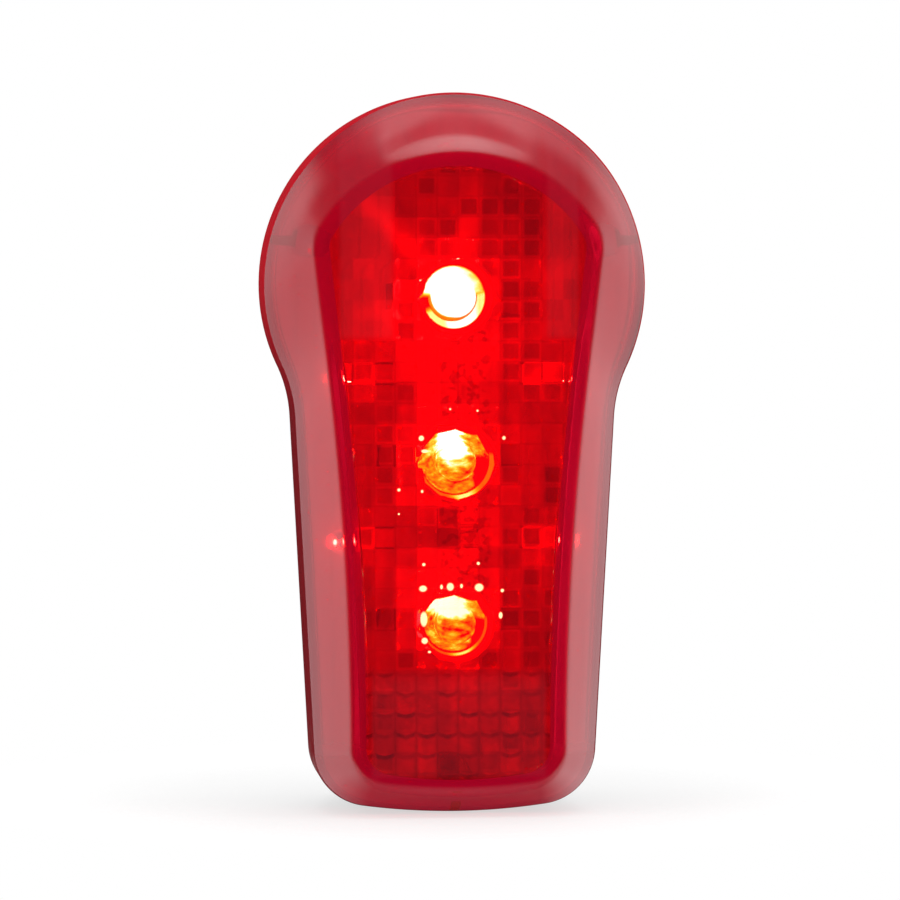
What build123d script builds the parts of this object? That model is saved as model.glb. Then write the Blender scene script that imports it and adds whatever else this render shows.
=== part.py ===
"""Bicycle tail light: a red lens over three front and four side lamps, with two cells and a rear clip.

Millimetres. +X is to the right of someone facing the lens, +Y runs back towards the bicycle, +Z is up.
The origin is the middle of the clip's gap, where a strap or a bracket's blade lies.
Depths are measured forwards from the flat back of the housing, and heights up from its foot.
"""
from build123d import *
import math
import os

# Outline of the body, seen from the front
head_radius = 24.0
head_above_bay = 9.8
side_half_width = 17.4
side_lean = 3.15
neck_radius = 17.0
corner_radius = 7.3
foot_radius = 82.0

# Outline of the raised window on the lens, seen from the front
window_side_margin = 4.0
window_foot_height = 2.6
window_foot_radius = 54.0
window_corner_radius = 5.3
window_side_radius = 395.0
window_side_lean = 6.5
window_shoulder_radius = 4.4
window_arch_bulge = 1.43
window_top_margin = 7.3
window_neck_share = 0.4

# Depths of the two halves of the body
bevel_depth = 5.5
lens_wall = 1.8
crease_set_back = 0.6
window_wall_inset = 0.9
window_edge_width = 0.5
window_edge_drop = 0.3

# Rear housing
housing_wall = 2.0
rim_inset = 0.15
rim_width = 3.0
back_inset = 2.2
back_edge_depth = 1.6
back_edge_width = 1.4
lip_height = 1.3
lip_clearance = 0.2

# Seal between the halves
seal_width = 0.8
seal_height = 0.8
seal_inset = 0.7
seal_clearance = 0.1

# Two cells side by side, and the bay that holds them
cell_radius = 5.25
cell_length = 44.5
cell_nub_radius = 1.9
cell_nub_height = 0.8
cell_edge = 0.4
cell_clearance = 0.3
cell_front_gap = 0.2
cell_spacing = 0.8
bay_foot_margin = 1.0
spring_length = 5.7
bay_rib = 1.2
bay_rib_drop = 2.0
bay_wall_drop = 0.6
divider_width = 0.4
divider_depth = 4.5

# Contacts and their springs
contact_thickness = 0.4
contact_half_width = 3.6
contact_tab_half_width = 2.0
contact_tab_drop = 1.6
spring_wire = 0.6
spring_base_radius = 3.8
spring_tip_radius = 2.2
spring_turns = 3.5
spring_spans_a_turn = 4
spring_end_gap = 0.05
bridge_margin = 0.6

# Circuit board
board_gap = 0.3
board_thickness = 1.6
board_clearance = 0.5
board_pin_hole = 0.35

# Front lamps: 5 mm bodies on a pitch down the middle, each in a bowl
lamp_radius = 2.5
lamp_height = 8.6
lamp_flange_radius = 2.9
lamp_flange_height = 1.0
lamp_pitch = 20.4
lamp_top_drop = 1.5
lamp_tip_clearance = 0.4
bowl_radius = 4.9
bowl_height = 6.4
bowl_lip = 0.3
bowl_neck_clearance = 0.3
bowl_bulge_across = 0.72
bowl_bulge_along = 0.45

# Side lamps: 3 mm bodies that lie on the board and face outwards
side_lamp_radius = 1.5
side_lamp_length = 5.0
side_lamp_flange_radius = 1.75
side_lamp_flange_height = 0.8
side_lamp_tip = 14.6
side_lamp_lift = 0.15

# Lamp leads
lead_radius = 0.25
lead_spacing = 2.54
lead_tail = 1.0
side_lead_run = 1.3

# Small parts on the board
chip_length = 5.0
chip_width = 4.0
chip_height = 1.5
chip_leg_length = 0.9
chip_leg_width = 0.4
chip_leg_thickness = 0.5
chip_standoff = 0.2
chip_leg_pitch = 1.27
chip_rise = 0.6
resistor_length = 3.2
resistor_width = 1.6
resistor_height = 0.6
resistor_offset = 7.4
capacitor_radius = 2.0
capacitor_length = 5.2
capacitor_offset = 10.0
capacitor_rise = 2.0
finger_thickness = 0.3
finger_half_width = 1.2
finger_foot = 3.0
finger_arm = 2.4

# Posts in the lens that the board is screwed to
post_radius = 1.9
post_depth = 6.6
post_rib = 1.2
upper_post_angle = 17.0
post_lip_clearance = 0.3
board_screw_radius = 0.9
board_screw_length = 5.0
board_screw_head_radius = 1.7
board_screw_head_height = 1.1
thread_clearance = 0.05
screw_hole_clearance = 0.2

# Button in the back of the head, and the switch that it presses
button_from_top = 15.0
button_radius = 5.0
button_proud = 1.0
button_clearance = 0.2
button_flange_radius = 6.5
button_flange = 1.0
button_plunger_radius = 2.2
button_plunger = 1.5
button_ring_width = 0.8
button_ring_groove = 0.3
retainer_wall = 1.2
retainer_plate = 1.0
retainer_slack = 0.3
switch_size = 6.0
switch_body = 3.5
switch_stem_radius = 1.75
switch_stem_clearance = 0.1
switch_rest_gap = 0.6
switch_stem_seat = 0.6
switch_travel = 0.3

# Clip on the back
clip_gap = 4.6
clip_thickness = 2.2
clip_half_width = 8.0
clip_root_half_height = 6.0
clip_root_corner = 1.9
clip_tip_height = 12.0
clip_tip_radius = 5.0
clip_seat_clearance = 0.15
clip_nub_rise = 5.0
clip_nub_radius = 1.0
clip_ridge_pitch = 2.4
clip_ridge_count = 4
clip_ridge_radius = 0.5
clip_edge = 0.8
clip_middle_height = 30.0
clip_screw_margin = 3.0
clip_screw_radius = 1.0
clip_screw_length = 9.0
clip_screw_head_radius = 1.9
clip_screw_head_height = 1.3
clip_screw_sink = 2.6
clip_post_radius = 2.3
clip_post_gap = 0.8
clip_post_depth = 8.0
cross_slot_length = 2.0
cross_slot_width = 0.5
cross_slot_depth = 0.6

# Notch in the foot of the joint, for a coin that opens the light
coin_notch_width = 10.0
coin_notch_height = 0.5
coin_notch_depth = 1.4

# What follows from the sizes above: first the cells and their bay, which set the body's depth and height
cell_offset = cell_radius + cell_spacing / 2
cell_depth = housing_wall + cell_clearance + cell_radius
housing_depth = cell_depth + cell_radius + cell_front_gap
bay_half_width = cell_offset + cell_radius + cell_clearance
bay_rib_depth = housing_depth - bay_rib_drop
bay_wall_depth = housing_depth - bay_wall_drop
bay_foot_height = back_inset + housing_wall + bay_foot_margin
bay_top_height = bay_foot_height + cell_length + spring_length + 2 * contact_thickness
head_centre_height = bay_top_height + head_above_bay
body_height = head_centre_height + head_radius
window_half_width = side_half_width - window_side_margin
window_top_height = body_height - window_top_margin

# The board, the lamps on it and the lens over them
board_back = housing_depth + lip_height + board_gap
board_front = board_back + board_thickness
lens_front = board_front + lamp_height + lamp_tip_clearance + lens_wall
skirt_front = lens_front - bevel_depth
lamp_heights = [head_centre_height - lamp_top_drop - step * lamp_pitch for step in (0, 1, 2)]
side_lamp_heights = [(lamp_heights[0] + lamp_heights[1]) / 2, (lamp_heights[1] + lamp_heights[2]) / 2]
chip_middle_height = side_lamp_heights[1] + chip_rise

# The back of the body: button, clip and its screws
back_face = -clip_gap / 2
button_height = body_height - button_from_top
button_travel = switch_rest_gap + switch_travel
clip_screw_height = bay_top_height + bay_rib + clip_post_gap + clip_post_radius
clip_screw_offset = clip_half_width - clip_screw_margin
clip_pivot_height = clip_screw_height - clip_root_half_height
clip_foot_top = clip_screw_height + clip_root_half_height
clip_nub_height = clip_tip_height + clip_nub_rise


def at_depth(depth):
    """Plane that faces forwards at a depth: local x is to the right, local y is the height."""
    return Plane(origin=(0, back_face - depth, -clip_middle_height), x_dir=(1, 0, 0), z_dir=(0, -1, 0))


def side_plane():
    """Plane of the body's middle: local x is the depth, local y is the height."""
    return Plane(origin=(0, back_face, -clip_middle_height), x_dir=(0, -1, 0), z_dir=(-1, 0, 0))


def block(left, right, low, high, back, front):
    """Rectangular block between two x values, two heights and two depths."""
    size = Rectangle(right - left, high - low, align=(Align.MIN, Align.MIN))
    return extrude(at_depth(back) * Pos(left, low) * size, front - back)


def disc(x, height, radius, back, front):
    """Round bar along the depth, at an x and a height."""
    return extrude(at_depth(back) * Pos(x, height) * Circle(radius), front - back)


def unit(angle):
    """Unit vector at an angle in degrees, anticlockwise from the right."""
    return Vector(math.cos(math.radians(angle)), math.sin(math.radians(angle)))


def angle_of(vector):
    """Angle of a vector in degrees, anticlockwise from the right."""
    return math.degrees(math.atan2(vector.Y, vector.X))


def centre_beside_line(start, lean, offset, anchor, reach, upper):
    """Centre that lies offset outside a line leaning outwards, at a distance reach from anchor."""
    along = unit(90 - lean)
    base = start + unit(-lean) * offset - anchor
    half = base.dot(along)
    root = math.sqrt(half ** 2 - base.dot(base) + reach ** 2)
    return anchor + base + along * (-half + (root if upper else -root))


def mirrored_loop(right_half):
    """Closed wire from the edges of its right half, which run from the foot up to the top."""
    left_half = [edge.mirror(Plane.YZ) for edge in reversed(right_half)]
    return Wire(right_half + left_half)


def body_outline(inset):
    """Face of the body's outline, moved inwards by inset. Every stretch is a line or an arc."""
    head = Vector(0, head_centre_height)
    foot = Vector(0, foot_radius)
    start = Vector(side_half_width, 0)
    neck = centre_beside_line(start, side_lean, neck_radius, head, head_radius + neck_radius, False)
    corner = centre_beside_line(
        start, side_lean, -corner_radius, foot, foot_radius - corner_radius, False
    )
    corner_angle = angle_of(corner - foot)
    neck_angle = angle_of(head - neck)
    shoulder_angle = angle_of(window_shoulder_centre() - window_arch_centre())
    side = unit(-side_lean)
    half = [
        CenterArc(foot, foot_radius - inset, -90, corner_angle + 90),
        CenterArc(corner, corner_radius - inset, corner_angle, -side_lean - corner_angle),
        Line(corner + side * (corner_radius - inset), neck - side * (neck_radius + inset)),
        CenterArc(neck, neck_radius + inset, 180 - side_lean, neck_angle - 180 + side_lean),
        CenterArc(head, head_radius - inset, neck_angle - 180, 180 - window_side_lean - neck_angle),
        CenterArc(head, head_radius - inset, -window_side_lean, shoulder_angle + window_side_lean),
        CenterArc(head, head_radius - inset, shoulder_angle, 90 - shoulder_angle),
    ]
    return make_face(mirrored_loop(half)).face()


def window_arch_radius():
    """Radius of the arch at the window's top, a little past the lines of its sides."""
    lean = math.radians(window_side_lean)
    reach = window_side_top().dot(unit(-window_side_lean)) + window_arch_bulge
    return (reach + window_top_height * math.sin(lean)) / (1 + math.sin(lean))


def window_arch_centre():
    """Centre of the arch at the top of the window."""
    return Vector(0, window_top_height - window_arch_radius())


def window_side_top():
    """Point where the window's curved side turns into its straight upper side."""
    centre = Vector(window_half_width + window_side_radius, window_side_foot())
    return centre + unit(180 - window_side_lean) * window_side_radius


def window_side_foot():
    """Height where the window's side starts, above its rounded lower corner."""
    reach = window_foot_radius - window_corner_radius
    across = window_half_width - window_corner_radius
    return window_foot_height + window_foot_radius - math.sqrt(reach ** 2 - across ** 2)


def window_shoulder_centre():
    """Centre of the small arc between the window's side and its arch."""
    reach = window_arch_radius() - window_shoulder_radius
    return centre_beside_line(
        window_side_top(), window_side_lean, -window_shoulder_radius, window_arch_centre(), reach, True
    )


def window_outline(inset):
    """Face of the raised window's outline, moved inwards by inset, with edges to match the body's."""
    foot = Vector(0, window_foot_height + window_foot_radius)
    corner = Vector(window_half_width - window_corner_radius, window_side_foot())
    side = Vector(window_half_width + window_side_radius, window_side_foot())
    shoulder = window_shoulder_centre()
    arch = window_arch_centre()
    corner_angle = angle_of(corner - foot)
    shoulder_angle = angle_of(shoulder - arch)
    outward = unit(-window_side_lean)
    line_start = side - outward * (window_side_radius + inset)
    line_end = shoulder + outward * (window_shoulder_radius - inset)
    line_middle = line_start + (line_end - line_start) * window_neck_share
    half = [
        CenterArc(foot, window_foot_radius - inset, -90, corner_angle + 90),
        CenterArc(corner, window_corner_radius - inset, corner_angle, -corner_angle),
        CenterArc(side, window_side_radius + inset, 180, -window_side_lean),
        Line(line_start, line_middle),
        Line(line_middle, line_end),
        CenterArc(
            shoulder, window_shoulder_radius - inset, -window_side_lean, shoulder_angle + window_side_lean
        ),
        CenterArc(arch, window_arch_radius() - inset, shoulder_angle, 90 - shoulder_angle),
    ]
    return make_face(mirrored_loop(half)).face()


def ring(outer_inset, inner_inset, back, front):
    """Ring that follows the body's outline, between two insets and two depths."""
    face = body_outline(outer_inset) - body_outline(inner_inset)
    return extrude(at_depth(back) * face, front - back)


def ruled(*sections):
    """Solid with straight walls between outlines, each given with its depth and with matching edges."""
    faces = [at_depth(depth) * outline for outline, depth in sections]
    loops = [face.outer_wire().edges() for face in faces]
    walls = []
    for near, far in zip(loops, loops[1:]):
        walls += [Face.make_surface_from_curves(one, other) for one, other in zip(near, far)]
    return Solid(Shell(walls + [faces[0], faces[-1]]))


def lens_block(skirt_inset, crease_depth, window_inset, window_back):
    """Solid inside one skin of the lens: a straight skirt, a bevel, then a narrow slope up to the window."""
    return ruled(
        (body_outline(skirt_inset), housing_depth),
        (body_outline(skirt_inset), crease_depth),
        (window_outline(window_inset), window_back),
        (window_outline(window_inset + window_edge_width), window_back + window_edge_drop),
    )


def post_places():
    """Where the lens has a post for a board screw: clear of the housing's lip, two in the head, one below."""
    from_edge = rim_inset + rim_width + board_screw_head_radius + post_lip_clearance
    upper = Vector(0, head_centre_height) + unit(upper_post_angle) * (head_radius - from_edge)
    return [(upper.X, upper.Y), (-upper.X, upper.Y), (0, from_edge)]


def front_lens():
    """Red cover: bevelled shell with a raised window, and three posts inside for the board."""
    window_back = lens_front - window_edge_drop
    outside = lens_block(0, skirt_front, 0, window_back)
    inside = lens_block(
        lens_wall, skirt_front - crease_set_back, window_wall_inset, window_back - lens_wall
    )
    post_front = board_front + post_depth
    half_rib = post_rib / 2
    posts = [disc(x, height, post_radius, board_front, post_front) for x, height in post_places()]
    for x, height in post_places():
        if x:
            rib = block(
                min(x, x * 2), max(x, x * 2), height - half_rib, height + half_rib, board_front, post_front
            )
        else:
            rib = block(-half_rib, half_rib, 0, height, board_front, post_front)
        posts.append(rib)
    shape = outside - inside + [post & outside for post in posts]
    bore = board_screw_radius + thread_clearance
    for x, height in post_places():
        shape -= disc(x, height, bore, board_front, board_front + board_screw_length)
    return shape


def rear_housing():
    """Dark tub behind the lens, with the battery bay, the button's hole and the clip's screw posts."""
    outside = ruled(
        (body_outline(rim_inset), housing_depth),
        (body_outline(back_inset), back_edge_depth),
        (body_outline(back_inset + back_edge_width), 0),
    )
    rim_inner = rim_inset + rim_width
    hollow = ruled(
        (body_outline(rim_inner), housing_depth),
        (body_outline(back_inset + housing_wall), housing_wall),
    )
    shape = outside - hollow
    shape += ring(lens_wall + lip_clearance, rim_inner, housing_depth, housing_depth + lip_height)
    shape += bay_walls() & outside
    for side in (-1, 1):
        shape += disc(
            side * clip_screw_offset, clip_screw_height, clip_post_radius, housing_wall, clip_post_depth
        )
        shape -= disc(
            side * clip_screw_offset, clip_screw_height,
            clip_screw_radius + thread_clearance, 0, clip_post_depth,
        )
    seal_outer = seal_inset - seal_clearance
    seal_inner = seal_inset + seal_width + seal_clearance
    shape -= ring(seal_outer, seal_inner, housing_depth - seal_height, housing_depth)
    shape -= disc(0, button_height, button_radius + button_clearance, 0, housing_wall)
    half_notch = coin_notch_width / 2
    shape -= block(
        -half_notch, half_notch, 0, coin_notch_height, housing_depth - coin_notch_depth, housing_depth
    )
    return shape


def bay_walls():
    """Ribs that box the two cells in, and the low rib between them."""
    outer = bay_half_width + bay_rib
    low = bay_foot_height
    high = bay_top_height
    walls = block(-outer, outer, 0, low, housing_wall, bay_wall_depth)
    walls += block(-outer, outer, high, high + bay_rib, housing_wall, bay_wall_depth)
    walls += block(-outer, -bay_half_width, low, high, housing_wall, bay_rib_depth)
    walls += block(bay_half_width, outer, low, high, housing_wall, bay_rib_depth)
    walls += block(
        -divider_width / 2, divider_width / 2, low + contact_thickness, high - contact_thickness,
        housing_wall, divider_depth,
    )
    return walls


def seal():
    """Soft ring in the housing's rim, which the lens closes on."""
    return ring(seal_inset, seal_inset + seal_width, housing_depth - seal_height, housing_depth)


def upright_rod(x, depth, low, high, radius):
    """Round bar that stands upright between two heights."""
    base = Location((x, back_face - depth, low - clip_middle_height))
    return base * Cylinder(radius, high - low, align=(Align.CENTER, Align.CENTER, Align.MIN))


def cell(side):
    """One cell: its can and its nub. The left one has its nub up, the right one has it down."""
    x = side * cell_offset
    low_plate = bay_foot_height + contact_thickness
    high_plate = bay_top_height - contact_thickness
    can_length = cell_length - cell_nub_height
    if side < 0:
        can_low = high_plate - cell_length
        nub = (high_plate - cell_nub_height, high_plate)
    else:
        can_low = low_plate + cell_nub_height
        nub = (low_plate, low_plate + cell_nub_height)
    can = upright_rod(x, cell_depth, can_low, can_low + can_length, cell_radius)
    can = fillet(can.edges().filter_by(GeomType.CIRCLE), cell_edge)
    return can + upright_rod(x, cell_depth, nub[0], nub[1], cell_nub_radius)


def smooth_span(start, start_way, end, end_way):
    """Two arcs that lead from one point and direction to another, and meet smoothly halfway."""
    across = end - start
    ways = start_way + end_way
    bend = 2 * (start_way.dot(end_way) - 1)
    middle_term = across.dot(ways)
    reach = (middle_term - math.sqrt(middle_term ** 2 - bend * across.dot(across))) / bend
    joint = (start + start_way * reach + end - end_way * reach) * 0.5
    first = TangentArc(start, joint, tangent=start_way)
    return [first, TangentArc(joint, end, tangent=first % 1)]


def spring_point(share, length):
    """Point and direction of the spring's wire, at a share of its whole climb."""
    angle = math.degrees(2 * math.pi * spring_turns * share)
    shrink = spring_tip_radius - spring_base_radius
    radius = spring_base_radius + shrink * share
    around = unit(angle + 90) * radius * 2 * math.pi * spring_turns
    way = around + unit(angle) * shrink + Vector(0, 0, length)
    return unit(angle) * radius + Vector(0, 0, length * share), way.normalized()


def contact_spring(side):
    """Conical coil that pushes on the flat end of one cell, wide at its plate."""
    length = spring_length - spring_wire - 2 * spring_end_gap
    spans = round(spring_turns * spring_spans_a_turn)
    places = [spring_point(index / spans, length) for index in range(spans + 1)]
    arcs = []
    for (start, start_way), (end, end_way) in zip(places, places[1:]):
        arcs += smooth_span(start, start_way, end, end_way)
    first_point, first_way = places[0]
    coil = sweep(Plane(origin=first_point, z_dir=first_way) * Circle(spring_wire / 2), path=Wire(arcs))
    rise = spring_wire / 2 + spring_end_gap
    x = side * cell_offset
    y = back_face - cell_depth
    if side < 0:
        foot = bay_foot_height + contact_thickness + rise
        return Location((x, y, foot - clip_middle_height)) * coil
    foot = bay_top_height - contact_thickness - rise
    return Location((x, y, foot - clip_middle_height), (180, 0, 0)) * coil


def bridge_contact():
    """Plate under both cells, which joins the end of one to the end of the other."""
    half = bay_half_width - bridge_margin
    low = bay_foot_height
    return block(
        -half, half, low, low + contact_thickness, housing_wall + cell_clearance, bay_rib_depth
    )


def top_contact(side):
    """Plate over one cell, with a tab folded down over the front of the bay's wall."""
    x = side * cell_offset
    high = bay_top_height
    fold = bay_wall_depth + contact_thickness
    plate = block(
        x - contact_half_width, x + contact_half_width, high - contact_thickness, high,
        housing_wall + cell_clearance, bay_wall_depth,
    )
    tab = block(
        x - contact_tab_half_width, x + contact_tab_half_width, high - contact_thickness,
        high + contact_tab_drop, bay_wall_depth, fold,
    )
    return plate + tab


def finger(side):
    """Bent strip on the back of the board that presses on the tab of one top contact."""
    tab_front = bay_wall_depth + contact_thickness
    middle = bay_top_height + bay_rib / 2
    half = finger_thickness / 2
    path = Polyline(
        (board_back - half, middle + finger_arm + finger_foot),
        (board_back - half, middle + finger_arm),
        (tab_front + half, middle + half),
        (tab_front + half, middle - half),
    )
    strip = extrude(side_plane() * trace(path, finger_thickness), finger_half_width, both=True)
    near = block(-finger_half_width, finger_half_width, 0, body_height, tab_front, board_back)
    return Pos(side * cell_offset, 0, 0) * (strip & near)


def lamp(radius, height, flange_radius, flange_height):
    """Lamp body that stands on the XY plane: flange, barrel and round end."""
    barrel = Cylinder(radius, height - radius, align=(Align.CENTER, Align.CENTER, Align.MIN))
    flange = Cylinder(flange_radius, flange_height, align=(Align.CENTER, Align.CENTER, Align.MIN))
    return barrel + flange + Pos(0, 0, height - radius) * Sphere(radius)


def front_lamp(index):
    """One of the three lamps that face forwards."""
    body = lamp(lamp_radius, lamp_height, lamp_flange_radius, lamp_flange_height)
    return at_depth(board_front) * Pos(0, lamp_heights[index], 0) * body


def side_lamp(side, row):
    """One of the four lamps that lie on the board and face left or right."""
    body = lamp(side_lamp_radius, side_lamp_length, side_lamp_flange_radius, side_lamp_flange_height)
    x = side * (side_lamp_tip - side_lamp_length)
    lift = side_lamp_flange_radius + side_lamp_lift
    place = Pos(x, side_lamp_heights[row], lift) * Rot(0, side * 90, 0)
    return at_depth(board_front) * place * body


def bowl(index):
    """Bright cup round one front lamp, which throws its light forwards."""
    neck = lamp_radius + bowl_neck_clearance
    seat = lamp_flange_radius + bowl_neck_clearance
    shelf = lamp_flange_height + bowl_neck_clearance
    mouth = bowl_radius - bowl_lip
    bulge = (neck + (mouth - neck) * bowl_bulge_across, shelf + (bowl_height - shelf) * bowl_bulge_along)
    wall = Polyline((mouth, bowl_height), (bowl_radius, bowl_height), (bowl_radius, 0), (seat, 0),
                    (seat, shelf), (neck, shelf))
    curve = ThreePointArc((neck, shelf), bulge, (mouth, bowl_height))
    section = make_face(Wire(wall.edges() + [curve]))
    cup = revolve(Plane.XZ * section, Axis.Z)
    return at_depth(board_front) * Pos(0, lamp_heights[index], 0) * cup


def lead_places():
    """Where a lamp lead goes through the board, as x and height."""
    half = lead_spacing / 2
    places = [(x, height) for height in lamp_heights for x in (-half, half)]
    run_end = side_lamp_tip - side_lamp_length - side_lead_run
    for height in side_lamp_heights:
        for side in (-1, 1):
            places += [(side * run_end, height - half), (side * run_end, height + half)]
    return places


def lamp_leads():
    """Wire legs of every lamp, down through the board."""
    tails = [
        disc(x, height, lead_radius, board_back - lead_tail, board_front)
        for x, height in lead_places()
    ]
    lift = side_lamp_flange_radius + side_lamp_lift
    near = side_lamp_tip - side_lamp_length
    far = near - side_lead_run - lead_radius
    for height in side_lamp_heights:
        for side in (-1, 1):
            for step in (-lead_spacing / 2, lead_spacing / 2):
                reach = sorted((side * near, side * far))
                x = side * (near - side_lead_run)
                riser = disc(x, height + step, lead_radius, board_front, board_front + lift)
                spread = lead_radius * 2
                bar = block(
                    reach[0], reach[1], height + step - lead_radius, height + step + lead_radius,
                    board_front + lift - lead_radius, board_front + lift - lead_radius + spread,
                )
                tails.append(riser + bar)
    return Compound(children=join_touching(tails))


def join_touching(shapes):
    """List of separate solids after every touching pair is joined."""
    joined = shapes[0]
    for shape in shapes[1:]:
        joined = joined + shape
    return joined.solids()


def circuit_board():
    """Pale board that fills the front half of the body and carries the lamps."""
    inset = lens_wall + board_clearance
    board = extrude(at_depth(board_back) * body_outline(inset), board_thickness)
    for x, height in post_places():
        hole = board_screw_radius + screw_hole_clearance
        board -= disc(x, height, hole, board_back, board_front)
    for x, height in lead_places():
        board -= disc(x, height, board_pin_hole, board_back, board_front)
    return board


def control_chip():
    """Eight-legged chip on the front of the board."""
    half = chip_length / 2
    low = chip_middle_height - half
    body = block(-chip_width / 2, chip_width / 2, low, low + chip_length,
                 board_front + chip_standoff, board_front + chip_height)
    reach = chip_width / 2 + chip_leg_length
    for step in (-1.5, -0.5, 0.5, 1.5):
        middle = chip_middle_height + step * chip_leg_pitch
        body += block(
            -reach, reach, middle - chip_leg_width / 2, middle + chip_leg_width / 2,
            board_front, board_front + chip_leg_thickness,
        )
    return body


def resistors():
    """Two small resistors beside each front lamp's bowl."""
    pieces = []
    for height in lamp_heights:
        for side in (-1, 1):
            x = side * resistor_offset
            low = height - resistor_length / 2
            pieces.append(block(
                x - resistor_width / 2, x + resistor_width / 2, low, low + resistor_length,
                board_front, board_front + resistor_height,
            ))
    return Compound(children=pieces)


def capacitor():
    """Round capacitor on the back of the board, in the head."""
    height = head_centre_height + capacitor_rise
    return disc(capacitor_offset, height, capacitor_radius, board_back - capacitor_length, board_back)


def board_screws():
    """Three screws from the back of the board into the lens's posts."""
    screws = []
    for x, height in post_places():
        head = disc(x, height, board_screw_head_radius, board_back - board_screw_head_height, board_back)
        shank = disc(x, height, board_screw_radius, board_back, board_front + board_screw_length)
        top = board_back - board_screw_head_height
        screws.append(head + shank - cross_slot(x, height, top, top + cross_slot_depth))
    return Compound(children=screws)


def cross_slot(x, height, back, front):
    """Cross-shaped recess for a screwdriver, between two depths."""
    long_half = cross_slot_length / 2
    thin_half = cross_slot_width / 2
    across = block(x - long_half, x + long_half, height - thin_half, height + thin_half, back, front)
    upright = block(x - thin_half, x + thin_half, height - long_half, height + long_half, back, front)
    return across + upright


def push_button():
    """Button in the back wall: a cap with a fine ring, a flange inside and a plunger."""
    top = -button_proud
    flange_front = housing_wall + button_flange
    cap = disc(0, button_height, button_radius, top, housing_wall)
    cap = fillet(cap.edges().group_by(Axis.Y)[-1], button_proud / 2)
    outer = button_radius / 2
    groove = disc(0, button_height, outer, top, top + button_ring_groove)
    groove -= disc(0, button_height, outer - button_ring_width, top, top + button_ring_groove)
    flange = disc(0, button_height, button_flange_radius, housing_wall, flange_front)
    plunger = disc(0, button_height, button_plunger_radius, flange_front, flange_front + button_plunger)
    return cap - groove + flange + plunger


def button_retainer():
    """Cup inside the back wall that keeps the button's flange in and lets it travel."""
    inner = button_flange_radius + retainer_slack
    shelf = housing_wall + button_flange + button_travel + retainer_slack
    front = shelf + retainer_plate
    cup = disc(0, button_height, inner + retainer_wall, housing_wall, front)
    cup -= disc(0, button_height, inner, housing_wall, shelf)
    return cup - disc(0, button_height, button_plunger_radius + button_clearance * 2, shelf, front)


def switch_base():
    """Square body of the switch, on the back of the board behind the button."""
    half = switch_size / 2
    back = board_back - switch_body
    body = block(-half, half, button_height - half, button_height + half, back, board_back)
    bore = switch_stem_radius + switch_stem_clearance
    return body - disc(0, button_height, bore, back, back + switch_stem_seat + 2 * switch_travel)


def switch_stem():
    """Long stem of the switch, which the button's plunger meets."""
    plunger_end = housing_wall + button_flange + button_plunger
    seat = board_back - switch_body + switch_stem_seat
    return disc(0, button_height, switch_stem_radius, plunger_end + switch_rest_gap, seat)


def clip_foot():
    """Solid root of the clip, screwed to the back of the housing."""
    outer_face = clip_gap + clip_thickness
    profile = Rectangle(outer_face, clip_foot_top - clip_pivot_height, align=(Align.MAX, Align.MIN))
    root = extrude(
        side_plane() * Pos(0, clip_pivot_height) * profile, clip_half_width, both=True
    )
    root = fillet(root.edges().filter_by(Axis.Y).group_by(Axis.Z)[-1], clip_root_corner)
    root = chamfer(root.faces().sort_by(Axis.Y)[-1].edges().group_by(Axis.Z)[-1], clip_edge)
    middle = clip_gap + clip_thickness / 2
    seat = Circle(clip_thickness / 2 + clip_seat_clearance)
    root -= extrude(
        side_plane() * Pos(-middle, clip_pivot_height) * seat, clip_half_width, both=True
    )
    for side in (-1, 1):
        x = side * clip_screw_offset
        hole = clip_screw_radius + screw_hole_clearance
        root -= disc(x, clip_screw_height, hole, -outer_face, 0)
        sink = clip_screw_head_radius + screw_hole_clearance
        root -= disc(x, clip_screw_height, sink, -outer_face, clip_screw_sink - outer_face)
    return root


def clip_tongue():
    """Long blade of the clip, with a rounded root, a grip rib inside and ridges outside."""
    middle = clip_gap + clip_thickness / 2
    length = clip_pivot_height - clip_tip_height
    face = Pos(0, clip_pivot_height) * Rectangle(
        2 * clip_half_width, length, align=(Align.CENTER, Align.MAX)
    )
    face = fillet(face.vertices().group_by(Axis.Y)[0], clip_tip_radius)
    blade = extrude(at_depth(-clip_gap - clip_thickness) * face, clip_thickness)
    rounded_root = Circle(clip_thickness / 2)
    blade += extrude(
        side_plane() * Pos(-middle, clip_pivot_height) * rounded_root, clip_half_width, both=True
    )
    rib_half = clip_half_width - clip_tip_radius
    nub = Pos(-clip_gap, clip_nub_height) * Circle(clip_nub_radius)
    blade += extrude(side_plane() * nub, rib_half, both=True)
    for index in range(clip_ridge_count):
        height = clip_nub_height + (index + 1) * clip_ridge_pitch
        ridge = Pos(-clip_gap - clip_thickness, height) * Circle(clip_ridge_radius)
        blade -= extrude(side_plane() * ridge, rib_half, both=True)
    return blade


def clip_screws():
    """Two screws sunk in the clip's root, into posts inside the housing."""
    seat = clip_screw_sink - clip_gap - clip_thickness
    screws = []
    for side in (-1, 1):
        x = side * clip_screw_offset
        top = seat - clip_screw_head_height
        head = disc(x, clip_screw_height, clip_screw_head_radius, top, seat)
        shank = disc(x, clip_screw_height, clip_screw_radius, seat, seat + clip_screw_length)
        screws.append(head + shank - cross_slot(x, clip_screw_height, top, top + cross_slot_depth))
    return Compound(children=screws)


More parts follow.
